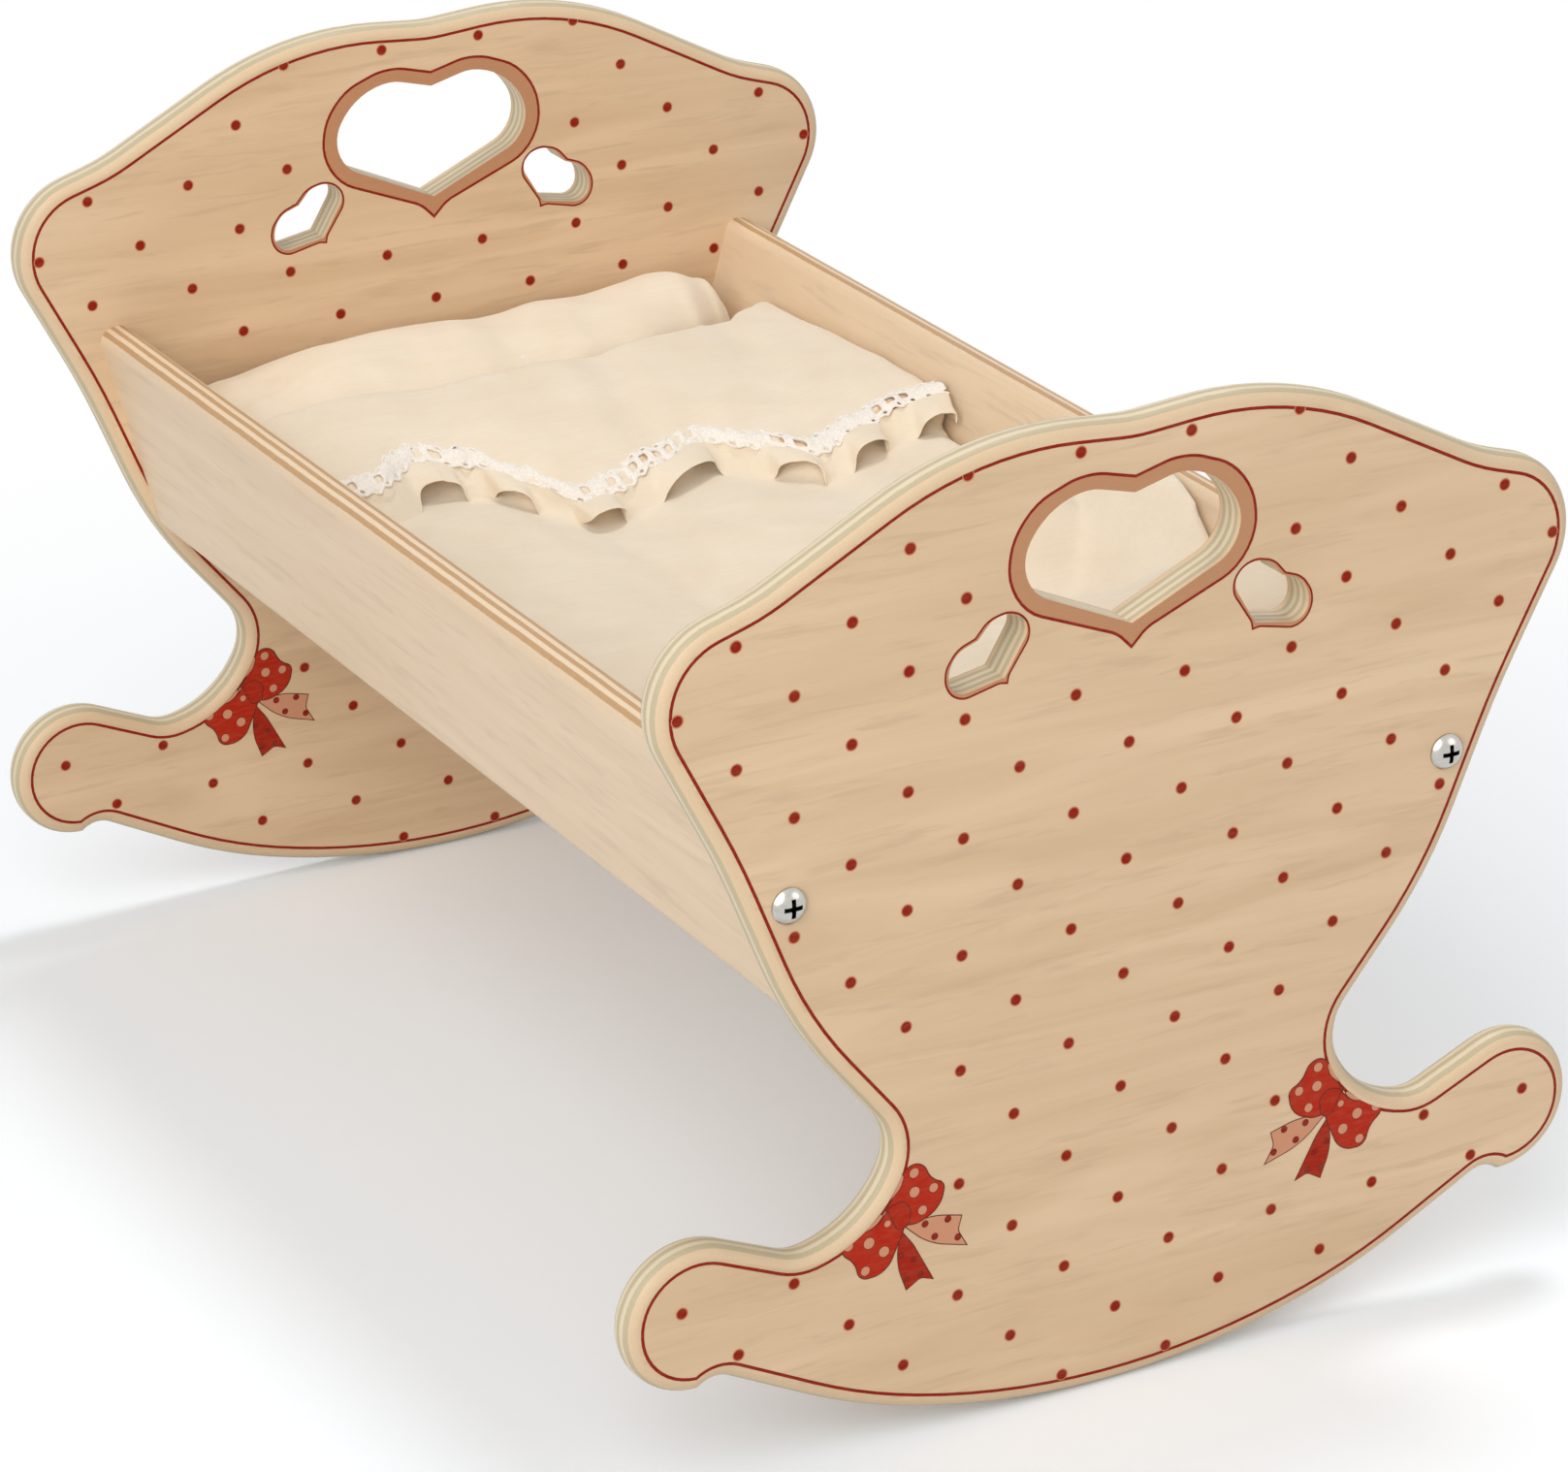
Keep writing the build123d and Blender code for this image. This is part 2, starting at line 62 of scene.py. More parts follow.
# The wood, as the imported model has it
PANEL_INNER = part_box("head_panel")[0].y
PANEL_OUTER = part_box("head_panel")[1].y
PANEL_THICKNESS = PANEL_OUTER - PANEL_INNER
SIDE_LEAN = radians(15.3)
SIDE_INNER_DEPTH = 58.99 * MM  # of the right side board's inner face, square to the board
SIDE_THICKNESS = 12 * MM
SIDE_FOOT = (104.4 * MM, 158.17 * MM)  # the lower inner edge of the right side board
SIDE_WIDTH = 85 * MM  # of a side board, measured up its slope

# The lattice that the printed dots lie on, in the plane of a panel
DOT_PITCH = 20 * MM
LATTICE_RISE = 48.3 * MM
DOT_SEEN = 1.25  # radius of a dot with its faded edge, as a share of the dot's own
INK_TONE = "ink_tone"  # the colour attribute of the print
LAYER_SHARE = 0.3  # of a film's height, from one layer of ink to the next
CORNER_SHARE = 0.49  # of a side, the most that the rounding of a corner takes

# The bedding
BED_LEVEL = 193.57 * MM  # where the bedding rests, a small gap above the mattress
SIDE_GAP = 0.6 * MM
HALF_LENGTH = PANEL_INNER
COVERLET_FOLD = 166 * MM  # where the coverlet is folded back
COVERLET_HEIGHT = 35 * MM
COVERLET_VOXEL = 3.6 * MM
COVERLET_STEPS = 110  # across the bed
FLAP_RUN = 2  # of a section's runs, the turned-down layer
TURN_DOWN = 92 * MM
CORNER_SETBACK = 36 * MM
LAYER = 10 * MM
SLIT = 0.8 * MM
FOOT_HEIGHT = 7 * MM
FOOT_GAP = 1.5 * MM  # between the coverlet and the foot panel
BULGE_SHARE = 0.16  # how far a pillow's or fold's front bulges, as a share of its height
ARC_SHARE = 0.4  # how far a rounded edge bulges, as a share of its height
PILLOW_FRONT = 169 * MM
PILLOW_BACK = HALF_LENGTH - 3 * MM
PILLOW_HEIGHT = 33 * MM
PILLOW_LENGTH = 222 * MM
PILLOW_WALL = 1.8 * MM  # the pillow's case and the gap inside it
SHOULDER_SHARE = 0.72
TRIM_SHARE = 0.985  # of the bed's width, for the ruffle and the lace

# The cotton's threads, and the scale at which a Wave node has one wave in a metre
THREAD_PITCH = 0.55 * MM
WAVE_SCALE = 0.31416

# Padded pieces: the faces of their even mesh, their pressure, and the frames in which they swell
FILLING_VOXEL = 5 * MM
FILLING_PRESSURE = 2.0
SWELLING_FRAMES = 20

# The coverlet's sections from its left to its right side: the place across the bed and, as
# shares, the turn down, the set-back of the fold, the height of the turned-down edge, of the
# fold and of the layer under the edge
COVERLET_ROWS = (
    (-1.00, 0.86, 0.00, 0.61, 0.84, 0.29),
    (-0.80, 0.84, 0.00, 0.63, 0.95, 0.29),
    (-0.61, 0.66, 0.00, 0.65, 1.00, 0.30),
    (-0.46, 0.74, 0.00, 0.61, 1.00, 0.28),
    (-0.34, 0.92, 0.00, 0.50, 1.00, 0.20),
    (-0.23, 1.12, 0.00, 0.38, 0.99, 0.13),
    (-0.10, 1.10, 0.00, 0.43, 0.98, 0.16),
    (0.05, 1.03, 0.00, 0.54, 0.98, 0.24),
    (0.24, 0.94, 0.02, 0.60, 1.00, 0.30),
    (0.40, 1.08, 0.06, 0.56, 0.99, 0.28),
    (0.53, 1.23, 0.13, 0.54, 0.97, 0.27),
    (0.70, 1.16, 0.34, 0.66, 0.91, 0.37),
    (0.86, 1.13, 0.72, 0.79, 0.82, 0.48),
    (1.00, 1.17, 1.00, 0.88, 0.75, 0.56),
)
# The coverlet's excess that is pushed up against the right board, puff by puff, in millimetres:
# height, then middle and reach across the bed, then middle and reach along it
TUCKED_PUFFS = (
    (41, 126, 48, -80, 82),
    (30, 114, 70, -150, 68),
    (29, 78, 46, -46, 46),
)
# Soft valleys in the turned-down layer, in millimetres: the place across the bed and the depth
FLAP_VALLEYS = ((-62, 1.8), (4, 2.4), (58, 1.6))
FLAP_VALLEY_REACH = 17 * MM
# Where the ruffle's folds rise and sink in turn, as places across the bed
RUFFLE_FOLDS = (
    (-1.00, -0.76, -0.57, -0.47, -0.40, -0.32, -0.20, -0.07)
    + (0.15, 0.35, 0.45, 0.565, 0.685, 0.815, 0.93, 1.02)
)
# The pillow's sections from its open left end to its closed right end: the place along it, the
# height, and the set-back of its front and back
PILLOW_ROWS = (
    (0.000, 0.55, 0.05, 0.06),
    (0.075, 0.72, 0.00, 0.00),
    (0.220, 0.98, 0.02, 0.05),
    (0.500, 1.00, 0.05, 0.06),
    (0.740, 1.00, 0.20, 0.04),
    (0.885, 0.96, 0.55, 0.00),
    (0.960, 0.80, 0.84, 0.03),
    (1.000, 0.46, 1.00, 0.20),
)

# Corners of the print's outlines in millimetres: across, up and the radius that rounds each
LARGE_HEART_CENTRE = (0.0, 292.3)
HALF_HEART_LINE = (
    (0.0, 25.1, 0.0),
    (17.9, 29.7, 22.9),
    (43.2, 20.1, 22.2),
    (47.2, -10.2, 21.9),
    (5.6, -26.9, 12.1),
    (0.0, -32.6, 0.0),
)
SMALL_HEART_CENTRE = (51.6, 266.9)
SMALL_HEART_TURN = 34.6
SMALL_HEART_SHARE = 0.37
SMALL_LINE_SHARE = 0.7

# Rows of dots: the height on the lattice and the places to one side of the middle
DOT_ROWS = (
    (14, (1, 3)),
    (13, (4,)),
    (12, (3, 5, 7)),
    (11, (4, 6, 8)),
    (10, (1, 3, 5, 7)),
    (9, (0, 2, 4, 6)),
    (8, (1, 3, 5)),
    (7, (0, 2, 4, 6)),
    (6, (1, 3, 5)),
    (5, (0, 2, 4)),
    (4, (1, 3)),
    (3, (0, 2)),
    (2, (1, 3)),
    (1, (0, 2, 6, 8)),
    (0, (1, 3, 5, 7)),
    (-1, (0, 2, 4)),
    (-2, (1,)),
)

# A bow, in millimetres from its knot
BOW_KNOT = (-82.0, 83.0)
BOW_REACH = 60 * MM  # no part of the bow is further from the knot
BOW_UPPER_LOOP = (
    (-4.0, -3.0, 0.0),
    (-5.0, 3.0, 1.0),
    (-1.5, 8.0, 6.0),
    (2.0, 16.5, 5.0),
    (8.6, 16.8, 5.5),
    (12.0, 9.6, 8.0),
    (17.2, 7.6, 3.5),
    (15.4, -1.6, 9.0),
    (6.0, -5.4, 8.0),
    (1.0, -4.0, 0.0),
)
BOW_UPPER_FOLD = (
    (-3.6, 5.0, 0.0),
    (-3.2, 13.4, 5.0),
    (2.6, 14.8, 2.0),
    (0.6, 9.0, 6.0),
)
BOW_LOWER_LOOP = (
    (3.0, -3.0, 0.0),
    (-3.6, 3.6, 1.0),
    (-9.0, -3.2, 8.0),
    (-19.4, -1.2, 4.0),
    (-22.0, -8.4, 5.0),
    (-16.0, -13.4, 8.0),
    (-14.6, -20.2, 4.0),
    (-4.4, -20.0, 9.0),
    (0.6, -9.0, 9.0),
)
BOW_LOWER_FOLD = (
    (-18.0, -2.4, 1.0),
    (-14.6, 1.6, 5.0),
    (-4.6, 2.0, 1.0),
    (-9.6, -3.6, 7.0),
)
BOW_KNOT_OUTLINE = (
    (-4.8, 3.2, 1.5),
    (1.4, 5.2, 4.0),
    (4.6, 1.2, 3.0),
    (3.8, -5.2, 2.5),
    (-0.8, -5.6, 2.0),
)
BOW_RIGHT_TAIL = (
    (1.6, -4.6, 0.0),
    (12.4, -3.2, 22.0),
    (23.4, -6.0, 0.0),
    (22.0, -11.2, 2.5),
    (25.6, -17.6, 0.0),
    (11.0, -13.4, 24.0),
)
BOW_LOWER_TAIL = (
    (0.6, -5.4, 0.0),
    (5.4, -11.8, 18.0),
    (13.2, -26.6, 0.0),
    (8.2, -24.8, 2.5),
    (2.8, -28.0, 0.0),
    (-1.2, -17.0, 20.0),
)
# Spots on the bow: across, up and radius
BOW_PALE_SPOTS = (
    (5.4, 13.4, 2.0),
    (5.6, 6.6, 2.2),
    (12.6, 6.4, 1.9),
    (8.6, -0.6, 1.9),
    (-18.4, -6.6, 2.0),
    (-10.9, -7.4, 2.3),
    (-5.4, -11.8, 2.2),
    (-12.2, -17.0, 1.9),
    (-4.2, -2.2, 1.4),
)
BOW_DARK_SPOTS = (
    (9.6, -5.8, 1.3),
    (18.0, -6.2, 1.3),
    (13.2, -11.2, 1.3),
    (21.8, -13.6, 1.3),
    (0.9, -14.8, 1.2),
    (5.6, -17.6, 1.2),
    (2.9, -23.8, 1.2),
    (8.2, -23.4, 1.2),
)


# ---------------------------------------------------------------- what a user may change


def colour_property(name, description, value):
    """A colour that a user may change."""
    return FloatVectorProperty(
        name=name,
        description=description,
        default=value,
        size=3,
        min=0,
        max=1,
        subtype="COLOR",
    )


def length_property(name, description, value):
    """A length that a user may change."""
    return FloatProperty(
        name=name, description=description, default=value, min=0, subtype="DISTANCE", unit="LENGTH"
    )


class CradleWood(bpy.types.PropertyGroup):
    """Colours and gloss of the plywood."""

    pale: colour_property("Pale veneer", "Lightest tone of the panels", (0.79, 0.585, 0.38))
    deep: colour_property("Deep veneer", "Darkest tone of the panels", (0.68, 0.48, 0.295))
    ply_pale: colour_property("Pale ply", "Plies whose grain shows", (0.74, 0.63, 0.45))
    ply_deep: colour_property("Deep ply", "Plies cut across", (0.50, 0.415, 0.265))
    board_pale: colour_property("Pale board", "Lightest tone of the boards", (0.81, 0.64, 0.455))
    board_deep: colour_property("Deep board", "Darkest tone of the boards", (0.74, 0.57, 0.39))
    board_ply: colour_property("Board ply", "Deep plies of the boards", (0.47, 0.27, 0.12))
    gloss: FloatProperty(
        name="Lacquer", description="Strength of the thin lacquer", default=0.08, min=0, max=1
    )


class CradlePrint(bpy.types.PropertyGroup):
    """Sizes and inks of the printed ornament."""

    red: colour_property("Red", "Ink of the lines and dots", (0.27, 0.010, 0.002))
    scarlet: colour_property("Scarlet", "Ink of the bows", (0.45, 0.018, 0.003))
    terracotta: colour_property("Terracotta", "Tint between heart and line", (0.52, 0.26, 0.135))
    blush: colour_property("Blush", "Pale ink of folds and spots", (0.62, 0.29, 0.17))
    outline: colour_property("Outline", "Dark ink around the bows", (0.13, 0.018, 0.007))
    line_width: length_property("Line", "Width of the line along the edge", 1.1 * MM)
    heart_line_width: length_property("Heart line", "Width of the line round a heart", 1.0 * MM)
    dot_radius: length_property("Dot", "Radius of a printed dot", 1.75 * MM)
    film: length_property("Film", "Height of the lowest ink above the wood", 0.05 * MM)


class CradleBedding(bpy.types.PropertyGroup):
    """Sizes and colours of the bedding."""

    cotton: colour_property("Cotton", "Unbleached cotton of the bedding", (0.82, 0.71, 0.56))
    crochet: colour_property("Crochet", "White cotton of the lace", (0.90, 0.83, 0.74))
    satin: colour_property("Ribbon", "Satin ribbon in the lace", (0.80, 0.50, 0.24))
    ticking: colour_property("Ticking", "Cotton of the mattress and pillow", (0.84, 0.80, 0.72))
    ruffle_depth: length_property("Ruffle depth", "How far the ruffle stands out", 13 * MM)
    lace_width: length_property("Lace width", "Width of the lace", 12 * MM)


class CradleStudio(bpy.types.PropertyGroup):
    """Light of the studio."""

    key: FloatProperty(name="Key", description="Power of the large lamp", default=57, min=0)
    fill: FloatProperty(name="Fill", description="Power of the weak lamp", default=6, min=0)
    back: FloatProperty(name="Back", description="Power of the lamp behind", default=20, min=0)
    ambient: FloatProperty(
        name="Ambient", description="Light from all round", default=0.36, min=0
    )


# ---------------------------------------------------------------- material maths


class Value:
    """A number, colour or vector on its way through a material."""

    def __init__(self, recipe, socket):
        self.recipe = recipe
        self.socket = socket

    def __add__(self, other):
        return self.recipe.sum("ADD", self, other)

    def __sub__(self, other):
        return self.recipe.sum("SUBTRACT", self, other)

    def __rsub__(self, other):
        return self.recipe.sum("SUBTRACT", other, self)

    def __mul__(self, other):
        return self.recipe.sum("MULTIPLY", self, other)

    def __truediv__(self, other):
        return self.recipe.sum("DIVIDE", self, other)

    __radd__ = __add__
    __rmul__ = __mul__


class Recipe:
    """The nodes of one new material or world."""

    def __init__(self, owner):
        owner.use_nodes = True
        self.owner = owner
        self.tree = owner.node_tree
        self.tree.nodes.clear()

    def node(self, kind, settings=None, inputs=None, output=0):
        """A shader node: its settings come first, then the values and links of its sockets.
        Returns one of its outputs, if it has any."""
        made = self.tree.nodes.new("ShaderNode" + kind)
        for name, value in (settings or {}).items():
            if name == "stops":
                self.fill_ramp(made.color_ramp, value)
            else:
                setattr(made, name, value)
        for name, value in (inputs or {}).items():
            if isinstance(value, Value):
                self.tree.links.new(value.socket, made.inputs[name])
            else:
                made.inputs[name].default_value = value
        return Value(self, made.outputs[output]) if made.outputs else None

    @staticmethod
    def fill_ramp(ramp, stops):
        """Gives a ramp its stops, each a position and a colour or a grey."""
        while len(ramp.elements) < len(stops):
            ramp.elements.new(1)
        for element, (position, tone) in zip(ramp.elements, stops):
            element.position = position
            element.color = (*tone, 1) if hasattr(tone, "__len__") else (tone, tone, tone, 1)

    def sum(self, operation, *terms):
        """A Math node."""
        return self.node("Math", {"operation": operation}, dict(enumerate(terms)))

    def mix(self, share, first, second):
        """A mix of two colours, which the node has at its inputs 6 and 7 and its output 2."""
        inputs = {0: share}
        for index, tone in ((6, first), (7, second)):
            inputs[index] = tone if isinstance(tone, Value) else (*tone, 1)
        return self.node("Mix", {"data_type": "RGBA"}, inputs, 2)

    def ramp(self, factor, *stops):
        """A value or colour read from a ramp."""
        return self.node("ValToRGB", {"stops": stops}, {"Fac": factor})

    def place(self):
        """Where a point of the object is, in metres."""
        return self.node("TexCoord", output="Object")

    def split(self, vector):
        """The three parts of a vector."""
        return [self.node("SeparateXYZ", None, {0: vector}, axis) for axis in range(3)]

    def scaled(self, scale, turn=(0, 0, 0)):
        """The place, turned and scaled."""
        inputs = {"Vector": self.place(), "Scale": scale, "Rotation": turn}
        return self.node("Mapping", {"vector_type": "POINT"}, inputs)

    def cloud(self, vector, scale, detail, roughness=0.5, distortion=0.0):
        """Soft noise from 0 to 1."""
        inputs = {
            "Vector": vector,
            "Scale": scale,
            "Detail": detail,
            "Roughness": roughness,
            "Distortion": distortion,
        }
        return self.node("TexNoise", {"noise_dimensions": "3D"}, inputs)

    def bump(self, height, distance, strength, before=None):
        """A normal for a surface with that height."""
        inputs = {"Height": height, "Distance": distance, "Strength": strength}
        if before:
            inputs["Normal"] = before
        return self.node("Bump", None, inputs, "Normal")

    def finish(self, **sockets):
        """Feeds the shader: an underscore in a socket's name stands for a space."""
        inputs = {}
        for name, value in sockets.items():
            constant_colour = hasattr(value, "__len__") and len(value) == 3
            inputs[name.replace("_", " ")] = (*value, 1) if constant_colour else value
        self.node("OutputMaterial", None, {"Surface": self.node("BsdfPrincipled", None, inputs)})
        return self.owner


def new_recipe(name):
    """The recipe of a new material."""
    return Recipe(bpy.data.materials.new(name))


def ply_stops(count, pale, deep, outer):
    """Ramp stops for plies that lie crosswise on each other, with the outer tone outside. The
    edge is half the blend between two of them."""
    edge = 0.07 / count
    tones = [deep if ply % 2 else pale for ply in range(count)]
    tones[0] = tones[-1] = outer
    stops = [(0.0, tones[0])]
    for ply in range(1, count):
        stops += [(ply / count - edge, tones[ply - 1]), (ply / count + edge, tones[ply])]
    return stops


def plywood(name, through, along, count, tones, streak_turn=0.0):
    """Lacquered birch plywood of so many plies. through gives the depth in the board from 0 to 1,
    and along is the scale of the streaks on the face, small in the direction of the grain. The
    tones are those of the pale and the deep veneer and of the pale and the deep plies."""
    pale, deep, ply_pale, ply_deep = (tuple(tone) for tone in tones)
    recipe = new_recipe(name)
    place = recipe.place()
    depth = through(recipe, recipe.split(place))
    waver = recipe.cloud(place, 28.0, 3.0)
    fine_waver = recipe.cloud(place, 220.0, 2.0)
    share = depth + (waver - 0.5) * 0.05 + (fine_waver - 0.5) * 0.025
    veneer_mean = tuple((a + b) / 2 for a, b in zip(pale, deep))
    plies = recipe.ramp(share, *ply_stops(count, ply_pale, ply_deep, veneer_mean))
    fibre = recipe.cloud(place, 900.0, 1.0)
    plies = recipe.mix(0.2, plies, recipe.mix(fibre, ply_deep, ply_pale))

    streaks = recipe.scaled(along, (0, streak_turn, 0))
    broad = recipe.cloud(streaks, 1.0, 4.0, 0.55, 1.2)
    thin = recipe.cloud(streaks, 5.5, 3.0, 0.6, 0.4)
    drift = recipe.cloud(place, 9.0, 2.0)
    veneer = recipe.mix(recipe.ramp(broad, (0.34, 0.0), (0.66, 1.0)), deep, pale)
    veneer = recipe.mix(recipe.ramp(drift, (0.3, 0.3), (0.7, 0.0)), veneer, deep)
    flecks = tuple(0.86 * part for part in deep)
    veneer = recipe.mix(recipe.ramp(thin, (0.30, 0.5), (0.46, 0.0)), veneer, flecks)
    on_face = recipe.sum("ABSOLUTE", depth - 0.5)
    face = recipe.ramp(on_face, (0.480, 0.0), (0.497, 1.0))
    colour = recipe.mix(face, plies, veneer)
    grain = recipe.cloud(streaks, 9.0, 2.0, 0.5)
    normal = recipe.bump(grain, 0.02 * MM, 0.5)
    return recipe.finish(
        Base_Color=colour,
        Roughness=recipe.ramp(thin, (0.3, 0.52), (0.6, 0.46)),
        Specular_IOR_Level=0.3,
        Coat_Weight=bpy.context.scene.cradle_wood.gloss,
        Coat_Roughness=0.3,
        Normal=normal,
    )


def panel_depth(recipe, parts):
    """How deep a point lies in its end panel, from 0 at the inner face to 1 at the outer one."""
    return (recipe.sum("ABSOLUTE", parts[1]) - PANEL_INNER) / PANEL_THICKNESS


def side_depth(recipe, parts):
    """How deep a point lies in its side board, from 0 at the inner face to 1 at the outer one."""
    across = recipe.sum("ABSOLUTE", parts[0]) * cos(SIDE_LEAN) - parts[2] * sin(SIDE_LEAN)
    return (across - SIDE_INNER_DEPTH) / SIDE_THICKNESS


def base_depth(recipe, parts):
    """How deep a point lies in the base board."""
    low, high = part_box("base_board")
    return (parts[2] - low.z) / (high.z - low.z)


def cotton(name, tone, crumples=0.5 * MM):
    """Plain cotton: a visible weave, small crumples and a few thicker threads, with painted shade
    where they lie low. crumples is the height of the small ones."""
    thread_scale = WAVE_SCALE / THREAD_PITCH
    recipe = new_recipe(name)
    place = recipe.place()
    threads = []
    for turn in ((0, 0, 0), (0, 0, radians(90))):
        wave = recipe.node(
            "TexWave",
            {"wave_type": "BANDS", "bands_direction": "X", "wave_profile": "SIN"},
            {
                "Vector": recipe.scaled((1, 1, 1), turn),
                "Scale": thread_scale,
                "Distortion": 0.6,
                "Detail": 1.0,
                "Detail Scale": 2.0,
            },
            "Fac",
        )
        threads.append(wave)
    weave = recipe.sum("MAXIMUM", *threads)
    slub = recipe.cloud(recipe.scaled((30, 900, 900)), 1.0, 2.0)
    soft = recipe.cloud(place, 42.0, 4.0, 0.55, 0.3)
    fold = recipe.cloud(place, 150.0, 3.0, 0.5)
    # Painted shade: a warmer, darker tone where the soft crumples and the slubs lie low, in the
    # hollows of the same relief that the bumps give.
    deep = tuple(part * shade for part, shade in zip(tone, (0.90, 0.85, 0.76)))
    colour = recipe.mix(recipe.ramp(soft, (0.3, 0.45), (0.7, 0.0)), tone, deep)
    colour = recipe.mix(recipe.ramp(slub, (0.35, 0.22), (0.6, 0.0)), colour, deep)
    normal = recipe.bump(soft + fold * 0.35, crumples, 0.5)
    normal = recipe.bump(weave + slub * 0.8, 0.06 * MM, 0.6, normal)
    return recipe.finish(
        Base_Color=colour,
        Roughness=0.88,
        Sheen_Weight=0.25,
        Sheen_Roughness=0.5,
        Normal=normal,
    )


def crochet_cotton(name, tone):
    """Crocheted cotton: knotty loops of thread, with painted shade between them."""
    recipe = new_recipe(name)
    place = recipe.place()
    loops = recipe.node(
        "TexVoronoi",
        {"voronoi_dimensions": "3D", "feature": "F1"},
        {"Vector": place, "Scale": 820.0, "Randomness": 0.7},
        "Distance",
    )
    strands = recipe.cloud(recipe.scaled((700, 1600, 900), (0, 0, radians(35))), 1.0, 2.0)
    # Painted shade: darker where the loops' bump sinks, between them.
    colour = recipe.mix(
        recipe.ramp(loops, (0.25, 0.0), (0.85, 0.65)), tone, tuple(0.80 * part for part in tone)
    )
    normal = recipe.bump(strands * 0.5 - loops, 0.35 * MM, 0.8)
    return recipe.finish(
        Base_Color=colour, Roughness=0.85, Sheen_Weight=0.3, Sheen_Roughness=0.5, Normal=normal
    )


def satin(name, tone):
    """Satin ribbon with fine cross threads."""
    recipe = new_recipe(name)
    threads = recipe.cloud(recipe.scaled((2600, 300, 300)), 1.0, 1.0)
    colour = recipe.mix(threads, tone, tuple(0.85 * part for part in tone))
    return recipe.finish(
        Base_Color=colour,
        Roughness=0.45,
        Sheen_Weight=0.4,
        Normal=recipe.bump(threads, 0.05 * MM, 0.4),
    )


def polished_steel(name):
    """Nickel-plated steel with faint turning marks, and painted shade, near black, in the cross of
    a screw's head.
    """
    low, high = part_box("head_right_screw")
    centre = (low + high) / 2
    radius, rise = (high.x - low.x) / 2, high.y - PANEL_OUTER
    recipe = new_recipe(name)
    x, y, z = recipe.split(recipe.place())
    aside = recipe.sum("ABSOLUTE", x) - centre.x
    up = z - centre.z
    share = (aside * aside + up * up) / (radius * radius)
    height = (recipe.sum("ABSOLUTE", y) - PANEL_OUTER) / rise
    # Painted shade: the sunken cross of the head turns near black where it lies below the dome.
    painted_cross_shade = recipe.ramp((1.0 - share) - height, (0.08, 0.0), (0.25, 1.0))
    scratches = recipe.cloud(recipe.scaled((900, 120, 900)), 1.0, 3.0)
    bright = recipe.mix(scratches, (0.50, 0.48, 0.45), (0.62, 0.60, 0.56))
    return recipe.finish(
        Base_Color=recipe.mix(painted_cross_shade, bright, (0.015, 0.014, 0.013)),
        Metallic=1.0,
        Roughness=recipe.ramp(scratches, (0.3, 0.16), (0.7, 0.26)),
        Normal=recipe.bump(scratches, 0.02 * MM, 0.3),
    )


def beech(name):
    """Plain beech with short dark flecks."""
    recipe = new_recipe(name)
    long_grain = recipe.scaled((900, 60, 900))
    flecks = recipe.cloud(long_grain, 1.0, 2.0)
    colour = recipe.ramp(
        flecks, (0.32, (0.36, 0.21, 0.11)), (0.42, (0.55, 0.36, 0.2)), (0.7, (0.62, 0.43, 0.26))
    )
    return recipe.finish(
        Base_Color=colour, Roughness=0.6, Normal=recipe.bump(flecks, 0.05 * MM, 0.5)
    )


def ink(name):
    """Printed ink: its tone comes with the print, slightly uneven as it soaks into the wood."""
    recipe = new_recipe(name)
    tone = recipe.node("Attribute", {"attribute_name": INK_TONE}, None, "Color")
    uneven = recipe.cloud(recipe.scaled((260, 260, 900)), 1.0, 3.0)
    colour = recipe.mix(recipe.ramp(uneven, (0.4, 0.0), (0.75, 0.05)), tone, (0.66, 0.48, 0.28))
    return recipe.finish(
        Base_Color=colour,
        Roughness=recipe.ramp(uneven, (0.3, 0.6), (0.7, 0.5)),
        Specular_IOR_Level=0.15,
    )


# ---------------------------------------------------------------- shared shape tools


def new_object(name, data):
    """An object of the scene."""
    made = bpy.data.objects.new(name, data)
    bpy.context.scene.collection.objects.link(made)
    return made


def new_shape(name, bm, material):
    """An object made from a bmesh."""
    mesh = bpy.data.meshes.new(name)
    bm.to_mesh(mesh)
    bm.free()
    mesh.materials.append(material)
    return new_object(name, mesh)


def new_piece(name, bm, body, material):
    """A piece made from a bmesh, which rides on a body."""
    piece = new_shape(name, bm, material)
    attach(piece, body)
    return piece


def repaint(node, material):
    """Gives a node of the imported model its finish."""
    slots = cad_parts[node].material_slots
    if slots:
        for place in slots:
            place.link = "OBJECT"
            place.material = material
    else:
        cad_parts[node].data.materials.append(material)


def node_copy(node):
    """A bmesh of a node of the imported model, its facets joined."""
    bm = bmesh.new()
    bm.from_mesh(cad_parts[node].data)
    bmesh.ops.remove_doubles(bm, verts=bm.verts, dist=CAD_SEAM)
    return bm


def settle(piece):
    """Replaces a piece's mesh by what its modifiers make of it."""
    depsgraph = bpy.context.evaluated_depsgraph_get()
    mesh = bpy.data.meshes.new_from_object(piece.evaluated_get(depsgraph))
    piece.modifiers.clear()
    piece.data = mesh


def shade_smooth(piece):
    """Hides the facets of a piece."""
    for polygon in piece.data.polygons:
        polygon.use_smooth = True


def subdivide(piece):
    """Shades a piece smooth and subdivides it once."""
    shade_smooth(piece)
    smoother = piece.modifiers.new("smooth", "SUBSURF")
    smoother.levels = smoother.render_levels = 1


def thicken(piece, thickness, offset):
    """Gives a sheet its thickness: inward at an offset of -1, outward at 1, both ways at 0."""
    wall = piece.modifiers.new("wall", "SOLIDIFY")
    wall.thickness = thickness
    wall.offset = offset
    wall.use_even_offset = True


def formed_grid(steps_u, steps_v, shape):
    """A grid whose points are moved to shape(u, v), with u and v from 0 to 1."""
    bm = bmesh.new()
    bmesh.ops.create_grid(bm, x_segments=steps_u, y_segments=steps_v, size=0.5)
    for vert in bm.verts:
        vert.co = shape(vert.co.x + 0.5, vert.co.y + 0.5)
    return bm


